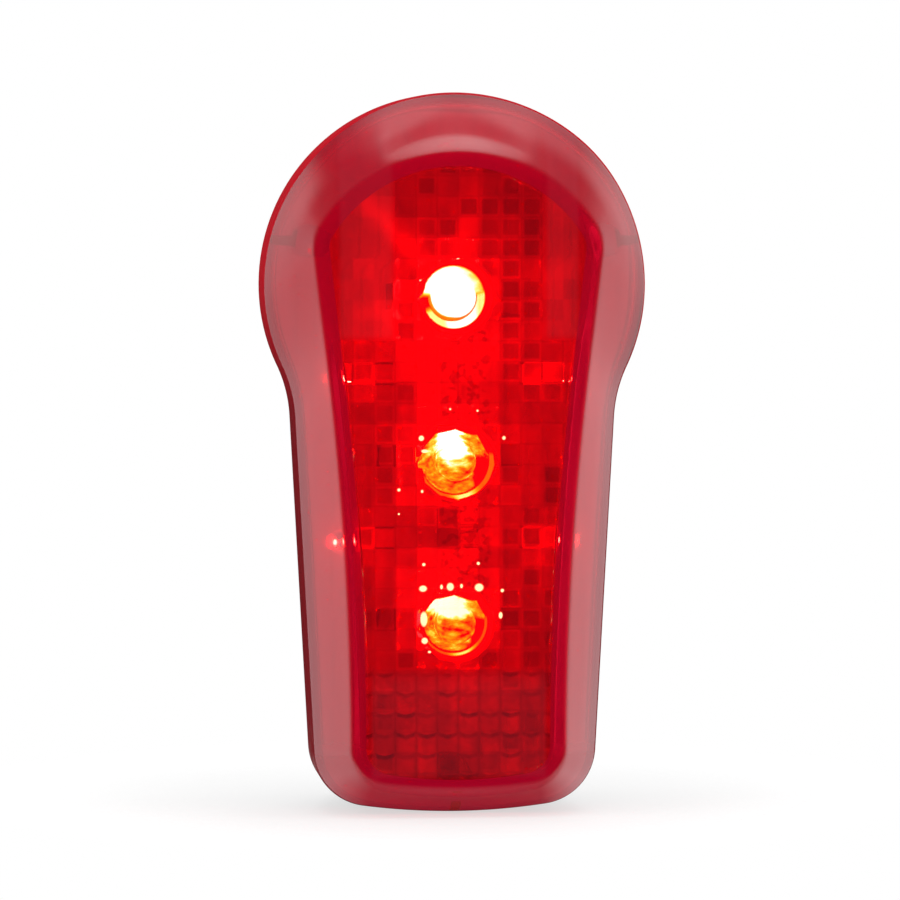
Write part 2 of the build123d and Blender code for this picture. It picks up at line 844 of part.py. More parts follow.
nodes = {
    "front_lens": front_lens(),
    "rear_housing": rear_housing(),
    "joint_seal": seal(),
    "cell_left": cell(-1),
    "cell_right": cell(1),
    "spring_left": contact_spring(-1),
    "spring_right": contact_spring(1),
    "bridge_contact": bridge_contact(),
    "positive_contact": top_contact(-1),
    "negative_contact": top_contact(1),
    "positive_finger": finger(-1),
    "negative_finger": finger(1),
    "circuit_board": circuit_board(),
    "lamp_leads": lamp_leads(),
    "control_chip": control_chip(),
    "resistors": resistors(),
    "capacitor": capacitor(),
    "board_screws": board_screws(),
    "push_button": push_button(),
    "button_retainer": button_retainer(),
    "switch_base": switch_base(),
    "switch_stem": switch_stem(),
    "clip_foot": clip_foot(),
    "clip_tongue": clip_tongue(),
    "clip_screws": clip_screws(),
}
for index, place in enumerate(("top", "middle", "foot")):
    nodes[f"lamp_{place}"] = front_lamp(index)
    nodes[f"bowl_{place}"] = bowl(index)
for row, level in enumerate(("upper", "lower")):
    nodes[f"side_lamp_{level}_left"] = side_lamp(-1, row)
    nodes[f"side_lamp_{level}_right"] = side_lamp(1, row)

os.makedirs("parts", exist_ok=True)
for name, shape in nodes.items():
    export_step(shape, f"parts/{name}.step")
    print(name, round(shape.volume, 2))
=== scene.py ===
# %% [markdown]
# # A bicycle tail light with its lamps on
#
# The real object is a red, clear cover over a pale board. Three large lamps face forwards, each in
# a bright bowl, and four small ones face sideways. Behind the board lie two cells in a dark housing
# with a push button and a clip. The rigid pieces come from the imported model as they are, and get a
# finish here. The cover is made again, because its looks depend on soft edges and on small pillows
# moulded into its inner face, which only a fine mesh can hold.

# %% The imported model, and its box before anything is added
import math

import bmesh
import bpy
import numpy as np
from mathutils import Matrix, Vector


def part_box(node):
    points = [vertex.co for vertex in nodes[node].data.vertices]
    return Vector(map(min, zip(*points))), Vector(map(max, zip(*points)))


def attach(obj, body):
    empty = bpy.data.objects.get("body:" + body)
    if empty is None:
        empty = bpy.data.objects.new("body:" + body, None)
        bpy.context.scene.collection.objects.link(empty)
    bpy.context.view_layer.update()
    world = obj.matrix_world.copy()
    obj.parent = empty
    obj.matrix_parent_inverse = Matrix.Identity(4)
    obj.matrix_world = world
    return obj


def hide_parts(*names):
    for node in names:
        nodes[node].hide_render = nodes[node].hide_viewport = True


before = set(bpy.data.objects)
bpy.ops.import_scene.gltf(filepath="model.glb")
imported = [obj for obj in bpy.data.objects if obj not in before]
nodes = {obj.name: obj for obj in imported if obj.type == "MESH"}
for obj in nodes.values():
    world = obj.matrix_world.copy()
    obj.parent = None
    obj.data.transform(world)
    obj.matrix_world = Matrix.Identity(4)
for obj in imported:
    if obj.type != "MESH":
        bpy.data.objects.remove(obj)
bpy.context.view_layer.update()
mm = 0.001
scene = bpy.context.scene

# %% [markdown]
# ## Camera
#
# The photograph was taken from a little to the left of the light and a little above it, with a long
# lens, because its two sides look nearly parallel. A camera can be aimed by turning it by hand, but
# two angles and a distance are easier to compare with a photograph, so they are the values here.

# %% Camera from two angles and a distance
azimuth = math.radians(-5.75)
elevation = math.radians(3.0)
distance = 0.62
frame_width = 112.9 * mm
target = Vector((-0.36 * mm, -21.5 * mm, 15.28 * mm))
away = Vector((
    math.cos(elevation) * math.sin(azimuth),
    -math.cos(elevation) * math.cos(azimuth),
    math.sin(elevation),
))
camera_data = bpy.data.cameras.new("camera")
camera_data.lens = camera_data.sensor_width * distance / frame_width
camera_data.clip_start = 0.01
camera = bpy.data.objects.new("camera", camera_data)
camera.location = target + away * distance
camera.rotation_euler = away.to_track_quat("Z", "Y").to_euler()
scene.collection.objects.link(camera)
scene.camera = camera
print("focal length in mm:", round(camera_data.lens, 1))

# %% [markdown]
# ## Surfaces from grids
#
# Every new piece is a grid of points worked out with numpy. A grid that closes on itself in one
# direction is a tube, such as the skin of the cover. Joining grids at shared rows gives one closed
# skin, and merging the doubled points afterwards is simpler than counting shared points by hand.

# %% Faces of a grid, and a piece from several grids
def grid_faces(rows, columns, closed):
    """Corner numbers of a grid's faces. A closed grid's last column is joined to its first."""
    across = columns if closed else columns - 1
    row, column = np.meshgrid(np.arange(rows - 1), np.arange(across), indexing="ij")
    following = (column + 1) % columns
    corners = [
        row * columns + column,
        row * columns + following,
        (row + 1) * columns + following,
        (row + 1) * columns + column,
    ]
    return np.stack(corners, axis=-1).reshape(-1, 4)


def make_piece(name, grids, body, merge=0.002 * mm):
    """Smooth closed mesh from grids of shape (rows, columns, 3).

    Each grid comes with whether it is closed and the number of its finish, or one number per row.
    """
    points, faces, finishes, first = [], [], [], 0
    for grid, closed, finish in grids:
        rows, columns = grid.shape[:2]
        points.append(grid.reshape(-1, 3))
        faces.append(grid_faces(rows, columns, closed) + first)
        per_row = np.broadcast_to(finish, rows - 1)
        finishes.append(np.repeat(per_row, len(faces[-1]) // (rows - 1)))
        first += rows * columns
    mesh = bpy.data.meshes.new(name)
    mesh.from_pydata(np.concatenate(points).tolist(), [], np.concatenate(faces).tolist())
    mesh.polygons.foreach_set("material_index", np.concatenate(finishes).astype(np.int32))
    cleaned = bmesh.new()
    cleaned.from_mesh(mesh)
    bmesh.ops.remove_doubles(cleaned, verts=cleaned.verts, dist=merge)
    bmesh.ops.dissolve_degenerate(cleaned, edges=cleaned.edges, dist=merge / 4)
    bmesh.ops.recalc_face_normals(cleaned, faces=cleaned.faces)
    open_edges = sum(1 for edge in cleaned.edges if len(edge.link_faces) != 2)
    cleaned.to_mesh(mesh)
    cleaned.free()
    mesh.shade_smooth()
    piece = bpy.data.objects.new(name, mesh)
    scene.collection.objects.link(piece)
    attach(piece, body)
    print(name, "faces:", len(mesh.polygons), "open edges:", open_edges)
    return piece


# %% [markdown]
# ## The cover's two outlines
#
# Seen from the front, the cover has two outlines: its own, and that of its raised window. Both are
# chains of arcs and straight lines that run smoothly into each other, as a mould maker draws them.
# They could be traced by eye as free curves, but arcs give even reflections. Both are cut into the
# same seven stretches for each half, so a point of one has its partner on the other.

# %% Where the cover lies
def middle_of(node):
    """Middle of a node's box."""
    low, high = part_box(node)
    return (low + high) / 2


lens_low, lens_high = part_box("front_lens")
foot_z = lens_low.z
joint_y = lens_high.y
window_y = lens_low.y
head_radius = (lens_high.x - lens_low.x) / 2
head_z = lens_high.z - head_radius
print("cover from", round(foot_z / mm, 2), "to", round(lens_high.z / mm, 2), "mm")
print("radius of its head:", round(head_radius / mm, 2), "mm")

# %% Sizes of the outlines
side_half_width = 17.4 * mm
side_lean = math.radians(3.15)
neck_radius = 17.0 * mm
corner_radius = 7.3 * mm
foot_radius = 82.0 * mm

window_half_width = 13.4 * mm
window_foot_z = foot_z + 2.6 * mm
window_foot_radius = 54.0 * mm
window_corner_radius = 5.3 * mm
window_side_radius = 395.0 * mm
window_side_lean = math.radians(6.5)
window_shoulder_radius = 4.4 * mm
window_arch_radius = 20.3 * mm
window_top_z = foot_z + 82.7 * mm
window_neck_share = 0.4
stretch_counts = (36, 24, 140, 28, 84, 16, 40)
print("points on half an outline:", sum(stretch_counts))


# %% Small tools for arcs
def unit(angle):
    """Unit vector at an angle, anticlockwise from the right."""
    return np.array([math.cos(angle), math.sin(angle)])


def angle_of(vector):
    """Angle of a vector, anticlockwise from the right."""
    return math.atan2(vector[1], vector[0])


def arc(centre, radius, start, end, count):
    """Points on a circle between two angles, without the last: centre + radius * unit vector."""
    angles = np.linspace(start, end, count, endpoint=False)
    return centre + radius * np.stack([np.cos(angles), np.sin(angles)], axis=-1)


def line(start, end, count):
    """Evenly spaced points on a straight line, without the last."""
    share = np.linspace(0, 1, count, endpoint=False)[:, None]
    return start + (end - start) * share


def centre_beside_line(start, lean, offset, anchor, reach, upper):
    """Centre that lies offset outside a line leaning outwards, at a distance reach from anchor."""
    along = unit(math.pi / 2 - lean)
    base = start + unit(-lean) * offset - anchor
    half = base @ along
    root = math.sqrt(half ** 2 - base @ base + reach ** 2)
    return anchor + base + along * (-half + (root if upper else -root))


def closed_loop(stretches, end):
    """Whole outline, by mirroring the stretches of its right half, which go from foot to top.

    An arc is a centre, a radius and two angles, and a straight line is two points.
    """
    half = [
        (arc if len(stretch) == 4 else line)(*stretch, count)
        for stretch, count in zip(stretches, stretch_counts)
    ]
    half = np.concatenate(half + [end[None]])
    mirrored = half[-2:0:-1] * np.array([-1, 1])
    return np.concatenate([half, mirrored])


# %% Fixed points of the window
window_side_foot_z = window_foot_z + window_foot_radius - math.sqrt(
    (window_foot_radius - window_corner_radius) ** 2
    - (window_half_width - window_corner_radius) ** 2
)
window_side_centre = np.array([window_half_width + window_side_radius, window_side_foot_z])
window_side_top = window_side_centre + unit(math.pi - window_side_lean) * window_side_radius
window_arch = np.array([0, window_top_z - window_arch_radius])
window_shoulder = centre_beside_line(
    window_side_top, window_side_lean, -window_shoulder_radius,
    window_arch, window_arch_radius - window_shoulder_radius, True,
)
shoulder_angle = angle_of(window_shoulder - window_arch)
print("middle of the shoulder's arc in mm:", np.round(window_shoulder / mm, 2))
print("its angle in degrees:", round(math.degrees(shoulder_angle), 1))


# %% The two outlines
def body_outline(inset):
    """The cover's outline, moved inwards by inset: foot arc, corner, side, neck and head arcs."""
    head = np.array([0, head_z])
    foot = np.array([0, foot_z + foot_radius])
    start = np.array([side_half_width, foot_z])
    neck = centre_beside_line(start, side_lean, neck_radius, head, head_radius + neck_radius, False)
    corner = centre_beside_line(
        start, side_lean, -corner_radius, foot, foot_radius - corner_radius, False
    )
    corner_angle = angle_of(corner - foot)
    neck_angle = angle_of(head - neck)
    side = unit(-side_lean)
    stretches = [
        (foot, foot_radius - inset, -math.pi / 2, corner_angle),
        (corner, corner_radius - inset, corner_angle, -side_lean),
        (corner + side * (corner_radius - inset), neck - side * (neck_radius + inset)),
        (neck, neck_radius + inset, math.pi - side_lean, neck_angle),
        (head, head_radius - inset, neck_angle - math.pi, -window_side_lean),
        (head, head_radius - inset, -window_side_lean, shoulder_angle),
        (head, head_radius - inset, shoulder_angle, math.pi / 2),
    ]
    return closed_loop(stretches, np.array([0, head_z + head_radius - inset]))


def window_outline(inset):
    """The window's outline, moved inwards by inset, in stretches that match the cover's."""
    foot = np.array([0, window_foot_z + window_foot_radius])
    corner = np.array([window_half_width - window_corner_radius, window_side_foot_z])
    corner_angle = angle_of(corner - foot)
    outward = unit(-window_side_lean)
    line_start = window_side_centre - outward * (window_side_radius + inset)
    line_end = window_shoulder + outward * (window_shoulder_radius - inset)
    line_middle = line_start + (line_end - line_start) * window_neck_share
    stretches = [
        (foot, window_foot_radius - inset, -math.pi / 2, corner_angle),
        (corner, window_corner_radius - inset, corner_angle, 0),
        (window_side_centre, window_side_radius + inset, math.pi, math.pi - window_side_lean),
        (line_start, line_middle),
        (line_middle, line_end),
        (window_shoulder, window_shoulder_radius - inset, -window_side_lean, shoulder_angle),
        (window_arch, window_arch_radius - inset, shoulder_angle, math.pi / 2),
    ]
    return closed_loop(stretches, np.array([0, window_top_z - inset]))


outer_body = body_outline(0)
outer_window = window_outline(0)
print("points round each outline:", len(outer_body))

# %% [markdown]
# ## The red cover
#
# The real cover is moulded in one piece: a straight skirt, a broad bevel, and a raised flat window.
# Nothing on it is sharp, so each corner of its profile is rounded, and above the window's arch the
# bevel dips and then climbs a short steep step. Its inner face carries rows of small pillows that
# spread the light. A box with bevels could give the outline, but not the dip, the step or the
# pillows, so the skin is swept here: for every point of the outline, a profile of rounded corners.

# %% Sizes of the cover's profile
crease_y = window_y + 5.5 * mm
cover_wall = 1.8 * mm
inner_window_y = window_y + 1.5 * mm
border_width = 1.9 * mm
crease_round = 0.5 * mm
window_round = 0.55 * mm
joint_round = 0.15 * mm
bevel_crown = 0.12 * mm
shoulder_crown = 0.55 * mm
step_height = 2.5 * mm
step_width = 1.9 * mm
step_half_width = 9.5 * mm
least_step_share = 0.7
step_share_of_bevel = 0.3
step_foot_round = 0.35 * mm
shoulder_lift = 1.6 * mm
shoulder_lift_angle = math.radians(45)
shoulder_lift_spread = math.radians(20)
crown_fade = 9 * mm
crown_round_radius = 1.0 * mm
crown_round_share_of_bevel = 0.18
crown_left_at_step = 0.25
inner_crease_gap = 0.6 * mm
inner_crease_round = 0.6 * mm
corner_steps = 6
inner_corner_steps = 4
longest_outer_gap = 1.2 * mm
longest_inner_gap = 2.0 * mm
print("depth of the cover before its crease:", round((joint_y - crease_y) / mm, 2), "mm")


# %% A rounded corner and a smooth fade
def fade(value, start, end):
    """Smooth rise from 0 at start to 1 at end: 3 t squared minus 2 t cubed."""
    t = np.clip((value - start) / (end - start), 0, 1)
    return t * t * (3 - 2 * t)


def round_profile(corners, radii, steps):
    """Profile points of shape (points, places, 2): each inner corner becomes a quadratic curve.

    The curve starts and ends at its radius from the corner, and its point at t is
    (1 - t) squared of the start, 2 t (1 - t) of the corner and t squared of the end.
    """
    t = np.linspace(0, 1, steps)[:, None, None]
    points = [corners[0][None]]
    for before, corner, after, radius in zip(corners, corners[1:], corners[2:], radii):
        back = before - corner
        ahead = after - corner
        start = corner + back * (radius / np.linalg.norm(back, axis=-1, keepdims=True))
        end = corner + ahead * (radius / np.linalg.norm(ahead, axis=-1, keepdims=True))
        points.append((1 - t) ** 2 * start + 2 * t * (1 - t) * corner + t ** 2 * end)
    points.append(corners[-1][None])
    return np.concatenate(points)


def with_straights(profile, longest):
    """Profile with extra points wherever a gap is longer than longest, as whole rows."""
    rows = [profile[0]]
    for start, end in zip(profile, profile[1:]):
        gap = np.linalg.norm(end - start, axis=-1).max()
        count = max(1, math.ceil(gap / longest))
        rows += [start + (end - start) * step / count for step in range(1, count + 1)]
    return np.array(rows)


# %% Outer skin from the joint to the window's edge
outer_reach = np.linalg.norm(outer_window - outer_body, axis=-1)
places = len(outer_body)
zero = np.zeros(places)
above = outer_body[:, 1] > head_z
head_angle = np.arctan2(outer_body[:, 1] - head_z, np.abs(outer_body[:, 0]))
lift = shoulder_lift * np.exp(-((head_angle - shoulder_lift_angle) / shoulder_lift_spread) ** 2)
outer_crease_y = crease_y - lift
step_share = np.where(above, 1 - fade(np.abs(outer_window[:, 0]), 0, step_half_width), 0)
in_head = fade(outer_body[:, 1], head_z, head_z + crown_fade)
crown = bevel_crown + (shoulder_crown - bevel_crown) * in_head
crown = crown * (1 - (1 - crown_left_at_step) * step_share)


def profile_point(reach, depth_y):
    """Corner of the profile at every place: how far in from the outline, and its y."""
    return np.stack([reach + zero, depth_y + zero], axis=-1)


step_out = step_width * (least_step_share + (1 - least_step_share) * step_share)
step_out = np.minimum(step_out, step_share_of_bevel * outer_reach)
step_foot_reach = outer_reach - step_out
end_reach = outer_reach + (step_foot_reach - outer_reach) * step_share
middle_reach = end_reach / 2
middle_y = (outer_crease_y + window_y + step_height * step_share) / 2 - crown
plain_slope = (middle_y - window_y) / (outer_reach - middle_reach)
plain_y = window_y + plain_slope * (outer_reach - step_foot_reach)
step_foot_y = plain_y + (window_y + step_height - plain_y) * step_share
outer_corners = [
    profile_point(joint_round, joint_y),
    profile_point(0, joint_y),
    profile_point(0, outer_crease_y),
    profile_point(middle_reach, middle_y),
    profile_point(step_foot_reach, step_foot_y),
    profile_point(outer_reach, window_y),
    profile_point(outer_reach + border_width, window_y),
]
crown_round = np.minimum(crown_round_radius, crown_round_share_of_bevel * outer_reach)[:, None]
corner_rounds = (joint_round / 2, crease_round, crown_round, step_foot_round, window_round)
outer_profile = with_straights(
    round_profile(outer_corners, corner_rounds, corner_steps), longest_outer_gap
)
print("rows of the outer skin:", len(outer_profile))


# %% Skins in space
def skin(profile, body, window, further):
    """Grid in space: a profile point goes in along the line from the outline to the window's.

    What is left of its way, past the window's outline, goes along the line to the outline
    further in.
    """
    across = window - body
    length = np.linalg.norm(across, axis=-1, keepdims=True)
    reach = profile[..., :1]
    onward = (further - window) / np.linalg.norm(further - window, axis=-1, keepdims=True)
    flat = body + across / length * np.minimum(reach, length)
    flat = flat + onward * np.maximum(reach - length, 0)
    return np.stack([flat[..., 0], profile[..., 1], flat[..., 1]], axis=-1)


inner_body = body_outline(cover_wall)
inner_window = window_outline(border_width)
outer_skin = skin(outer_profile, outer_body, outer_window, inner_window)
inner_reach = np.linalg.norm(inner_window - inner_body, axis=-1)
inner_corners = [
    profile_point(0, joint_y),
    profile_point(0, outer_crease_y + inner_crease_gap),
    profile_point(inner_reach, inner_window_y),
]
inner_profile = with_straights(
    round_profile(inner_corners, (inner_crease_round,), inner_corner_steps), longest_inner_gap
)
inner_skin = skin(inner_profile, inner_body, inner_window, window_outline(2 * border_width))
rim = np.stack([outer_skin[0], inner_skin[0]])
print("rows of the inner skin:", len(inner_profile))

# %% [markdown]
# ## Window faces
#
# The window's front is almost flat, so rings that shrink towards its middle line are enough. The
# inner face needs an even, nearly square grid to hold the pillows. A grid between four curved sides
# can be stretched from its edges alone: the two ruled surfaces added, less the one through the four
# corners.

# %% Front of the window: rings that shrink to a middle line
def middle_line(outline, low, high):
    """For each point of an outline, the nearest point of an upright line between two heights."""
    return np.stack([np.zeros(len(outline)), np.clip(outline[:, 1], low, high)], axis=-1)


front_edge = outer_skin[-1][:, [0, 2]]
line_low = window_foot_z + window_half_width
line_high = window_arch[1]
front_middle = middle_line(front_edge, line_low, line_high)
front_rings = 6
shares = np.linspace(0, 1, front_rings)[:, None, None]
front_flat = front_edge + (front_middle - front_edge) * shares
front_y = np.broadcast_to(window_y, front_flat.shape[:2])
front_face = np.stack([front_flat[..., 0], front_y, front_flat[..., 1]], axis=-1)
print("front of the window:", front_face.shape)


# %% Inner face: a stretched grid with pillows
pillow_width = 2.62 * mm
pillow_height = 2.56 * mm
pillow_line_z = foot_z + 18.2 * mm
pillow_relief = 0.42 * mm
panel_left_x = -3 * pillow_width
panel_right_x = 4 * pillow_width
panel_z = pillow_line_z + 16 * pillow_height
clear_radius = 4.9 * mm
clear_relief = 0.5


def stretched_grid(foot_row, head_row, left_column, right_column):
    """Surface between four edges: both ruled surfaces added, less the one through the corners."""
    s = np.linspace(0, 1, len(foot_row))[None, :, None]
    t = np.linspace(0, 1, len(left_column))[:, None, None]
    upright = (1 - t) * foot_row[None] + t * head_row[None]
    level = (1 - s) * left_column[:, None] + s * right_column[:, None]
    corners = (
        (1 - s) * (1 - t) * foot_row[0] + s * (1 - t) * foot_row[-1]
        + (1 - s) * t * head_row[0] + s * t * head_row[-1]
    )
    return upright + level - corners


def pillows(x, z):
    """Pillows' relief: 1 less half the squares of how far a point is from its pillow's middle."""
    across = 2 * np.mod(x / pillow_width, 1) - 1
    upright = 2 * np.mod((z - pillow_line_z) / pillow_height, 1) - 1
    return 1 - (across ** 2 + upright ** 2) / 2


counts = np.array(stretch_counts)
corner = counts[0] + counts[1] // 2
shoulder = counts[:5].sum() + counts[5] // 2
right_column = inner_window[corner:shoulder + 1]
left_column = right_column * np.array([-1, 1])
foot_row = np.concatenate([inner_window[-corner:], inner_window[:corner + 1]])
head_row = inner_window[shoulder:places - shoulder + 1][::-1]
inner_flat = stretched_grid(foot_row, head_row, left_column, right_column)
print("inner grid:", inner_flat.shape, "foot row", len(foot_row), "head row", len(head_row))

# %% Relief fades out at the border, in the two upper corners and in front of the lamps
blur = 0.1 * mm
border_points = 3
rows_away, columns_away = (
    np.minimum(np.arange(size), np.arange(size)[::-1]) for size in inner_flat.shape[:2]
)
edge_gap = np.minimum(rows_away[:, None], columns_away[None, :])
in_panel = fade(inner_flat[..., 0], panel_right_x - blur, panel_right_x + blur)
in_panel = in_panel + fade(-inner_flat[..., 0], -panel_left_x - blur, -panel_left_x + blur)
in_panel = in_panel * fade(inner_flat[..., 1], panel_z - blur, panel_z + blur)
relief = pillows(inner_flat[..., 0], inner_flat[..., 1]) * (1 - in_panel)
relief = relief * fade(edge_gap, 0, border_points)
for lamp_node in ("lamp_top", "lamp_middle", "lamp_foot"):
    from_lamp = np.hypot(inner_flat[..., 0], inner_flat[..., 1] - middle_of(lamp_node).z)
    outside = fade(from_lamp, clear_radius - blur, clear_radius + blur)
    relief = relief * outside + clear_relief * (1 - outside)
inner_y = inner_window_y + pillow_relief * relief
inner_face = np.stack([inner_flat[..., 0], inner_y, inner_flat[..., 1]], axis=-1)
print("relief of the pillows in mm:", round(float(np.ptp(inner_y)) / mm, 2))

# %% The cover, with the numbers of its finishes in the order in which they are put on below
glossy, satin, pillowed, hazy = 0, 1, 2, 3
rounded_crease_y = crease_y - 0.3 * mm
outer_finish = np.where(outer_skin[1:, 0, 1] > rounded_crease_y, satin, glossy)
print("satin rows:", int((outer_finish == satin).sum()), "of", len(outer_finish))
lens = make_piece(
    "lens",
    [
        (outer_skin, True, outer_finish),
        (rim, True, satin),
        (inner_skin, True, hazy),
        (front_face, True, glossy),
        (inner_face, False, pillowed),
    ],
    "cover_body",
)
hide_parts("front_lens")

# %% [markdown]
# ## Posts inside the cover
#
# Three hollow posts in the cover take the board's screws, and each is tied to the skirt by a rib.
# Seen through the bevel they are the dark bent shapes at the sides. A post with its rib is one
# closed outline carried along a straight path, which keeps it a single skin instead of two crossing
# ones.

# %% One outline for post and rib
post_radius = 1.9 * mm
post_bore = 0.95 * mm
post_bore_depth = 5.0 * mm
post_rib_half = 0.6 * mm
post_front_y = joint_y - 9.8 * mm
post_back_y = joint_y - 3.25 * mm
post_from_edge = 5.15 * mm
post_chamfer_y = 0.3 * mm
post_chamfer_width = 0.25 * mm
upper_post_angle = math.radians(17.0)
upper_rib_reach = 3.9 * mm
foot_rib_reach = 4.2 * mm
point_radius = post_bore * 1e-4


def keyhole(rib_angle, reach, count=96):
    """Distance from a post's middle at each angle: its radius, or the rib's edge if further."""
    angles = np.linspace(0, 2 * math.pi, count, endpoint=False)
    off = np.abs(np.mod(angles - rib_angle + math.pi, 2 * math.pi) - math.pi)
    ahead = off < math.pi / 2
    sideways = post_rib_half / np.maximum(np.sin(off), 1e-6)
    forwards = reach / np.maximum(np.cos(off), 1e-6)
    rib_edge = np.maximum(post_radius, np.minimum(sideways, forwards))
    return angles, np.where(ahead, rib_edge, post_radius)


def ring_at(middle, angles, distances, y):
    """Ring of points round a middle at one y."""
    x = middle[0] + distances * np.cos(angles)
    z = middle[1] + distances * np.sin(angles)
    return np.stack([x, np.full(len(angles), y), z], axis=-1)


def post_grid(middle, rib_angle, reach):
    """Skin of one post: out of the screw's bore, over the back end, and along to the front."""
    angles, distances = keyhole(rib_angle, reach)
    bore_front_y = post_back_y - post_bore_depth
    rows = [
        ring_at(middle, angles, point_radius, bore_front_y),
        ring_at(middle, angles, post_bore, bore_front_y),
        ring_at(middle, angles, post_bore, post_back_y),
        ring_at(middle, angles, distances, post_back_y),
        ring_at(middle, angles, distances, post_front_y + post_chamfer_y),
        ring_at(middle, angles, distances - post_chamfer_width, post_front_y),
        ring_at(middle, angles, point_radius, post_front_y),
    ]
    return np.array(rows), True, 0


upper_middle = np.array([0, head_z]) + unit(upper_post_angle) * (head_radius - post_from_edge)
posts = make_piece(
    "lens_posts",
    [
        post_grid(upper_middle, 0, upper_rib_reach),
        post_grid(upper_middle * np.array([-1, 1]), math.pi, upper_rib_reach),
        post_grid(np.array([0, foot_z + post_from_edge]), -math.pi / 2, foot_rib_reach),
    ],
    "cover_body",
)
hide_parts("front_lens")

# %% [markdown]
# ## Finishes
#
# A finish is a small tree of shader nodes. The same few steps come back in each of them: soft noise
# for colour, finer noise for roughness, and a bump for grain. So they are wrapped in classes.
# Numbers that nodes work out can be added and multiplied like plain ones, which keeps each pattern
# readable as a formula. Patterns follow Object coordinates, in metres, so a grain of half a
# millimetre needs a noise scale of about 2000.

# %% Numbers that nodes work out
class Number:
    """An output of a node tree. Arithmetic on it adds a node for each step."""

    def __init__(self, owner, socket):
        self.owner = owner
        self.socket = socket

    def do(self, operation, *others):
        """A step that has no sign of its own, such as MAXIMUM with another number."""
        return self.owner.math(operation, self, *others)

    def rise(self, start, end, low=0.0, high=1.0):
        """Smooth rise from low, where the number is start, to high, where it is end."""
        node = self.owner.add("ShaderNodeMapRange", interpolation_type="SMOOTHSTEP")
        for socket, value in zip(node.inputs, (self, start, end, low, high)):
            self.owner.feed(socket, value)
        return Number(self.owner, node.outputs["Result"])

    def __add__(self, other):
        return self.do("ADD", other)

    def __sub__(self, other):
        return self.do("SUBTRACT", other)

    def __rsub__(self, other):
        return self.owner.math("SUBTRACT", other, self)

    def __mul__(self, other):
        return self.do("MULTIPLY", other)

    def __truediv__(self, other):
        return self.do("DIVIDE", other)

    def __abs__(self):
        return self.do("ABSOLUTE")


# %% Node trees
class Tree:
    """A node tree, with short ways to add a node and to join it to others."""

    def __init__(self, owner):
        owner.use_nodes = True
        self.tree = owner.node_tree

    def add(self, kind, **settings):
        """New node of a kind, with some of its settings."""
        node = self.tree.nodes.new(kind)
        for name, value in settings.items():
            setattr(node, name, value)
        return node

    def feed(self, socket, value):
        """A number, a colour or an output goes into a socket."""
        if isinstance(value, tuple):
            socket.default_value = (*value, 1)
        elif isinstance(value, (int, float)):
            socket.default_value = value
        else:
            self.tree.links.new(value.socket if isinstance(value, Number) else value, socket)

    def math(self, operation, *values):
        """One step of arithmetic on outputs or plain numbers."""
        node = self.add("ShaderNodeMath", operation=operation)
        for socket, value in zip(node.inputs, values):
            self.feed(socket, value)
        return Number(self, node.outputs["Value"])

    def mix(self, factor, first, second, how="MIX"):
        """Colour between two colours or outputs, or another blend of the two."""
        node = self.add("ShaderNodeMix", data_type="RGBA", blend_type=how)
        for number, value in ((0, factor), (6, first), (7, second)):
            self.feed(node.inputs[number], value)
        return node.outputs[2]

    def parts(self, vector):
        """The three parts of a vector."""
        node = self.add("ShaderNodeSeparateXYZ")
        self.feed(node.inputs["Vector"], vector)
        return [Number(self, output) for output in node.outputs]

    def rays(self, *kinds):
        """What the Light Path node says of a ray, such as 1 for camera rays."""
        outputs = self.add("ShaderNodeLightPath").outputs
        return [Number(self, outputs[kind]) for kind in kinds]


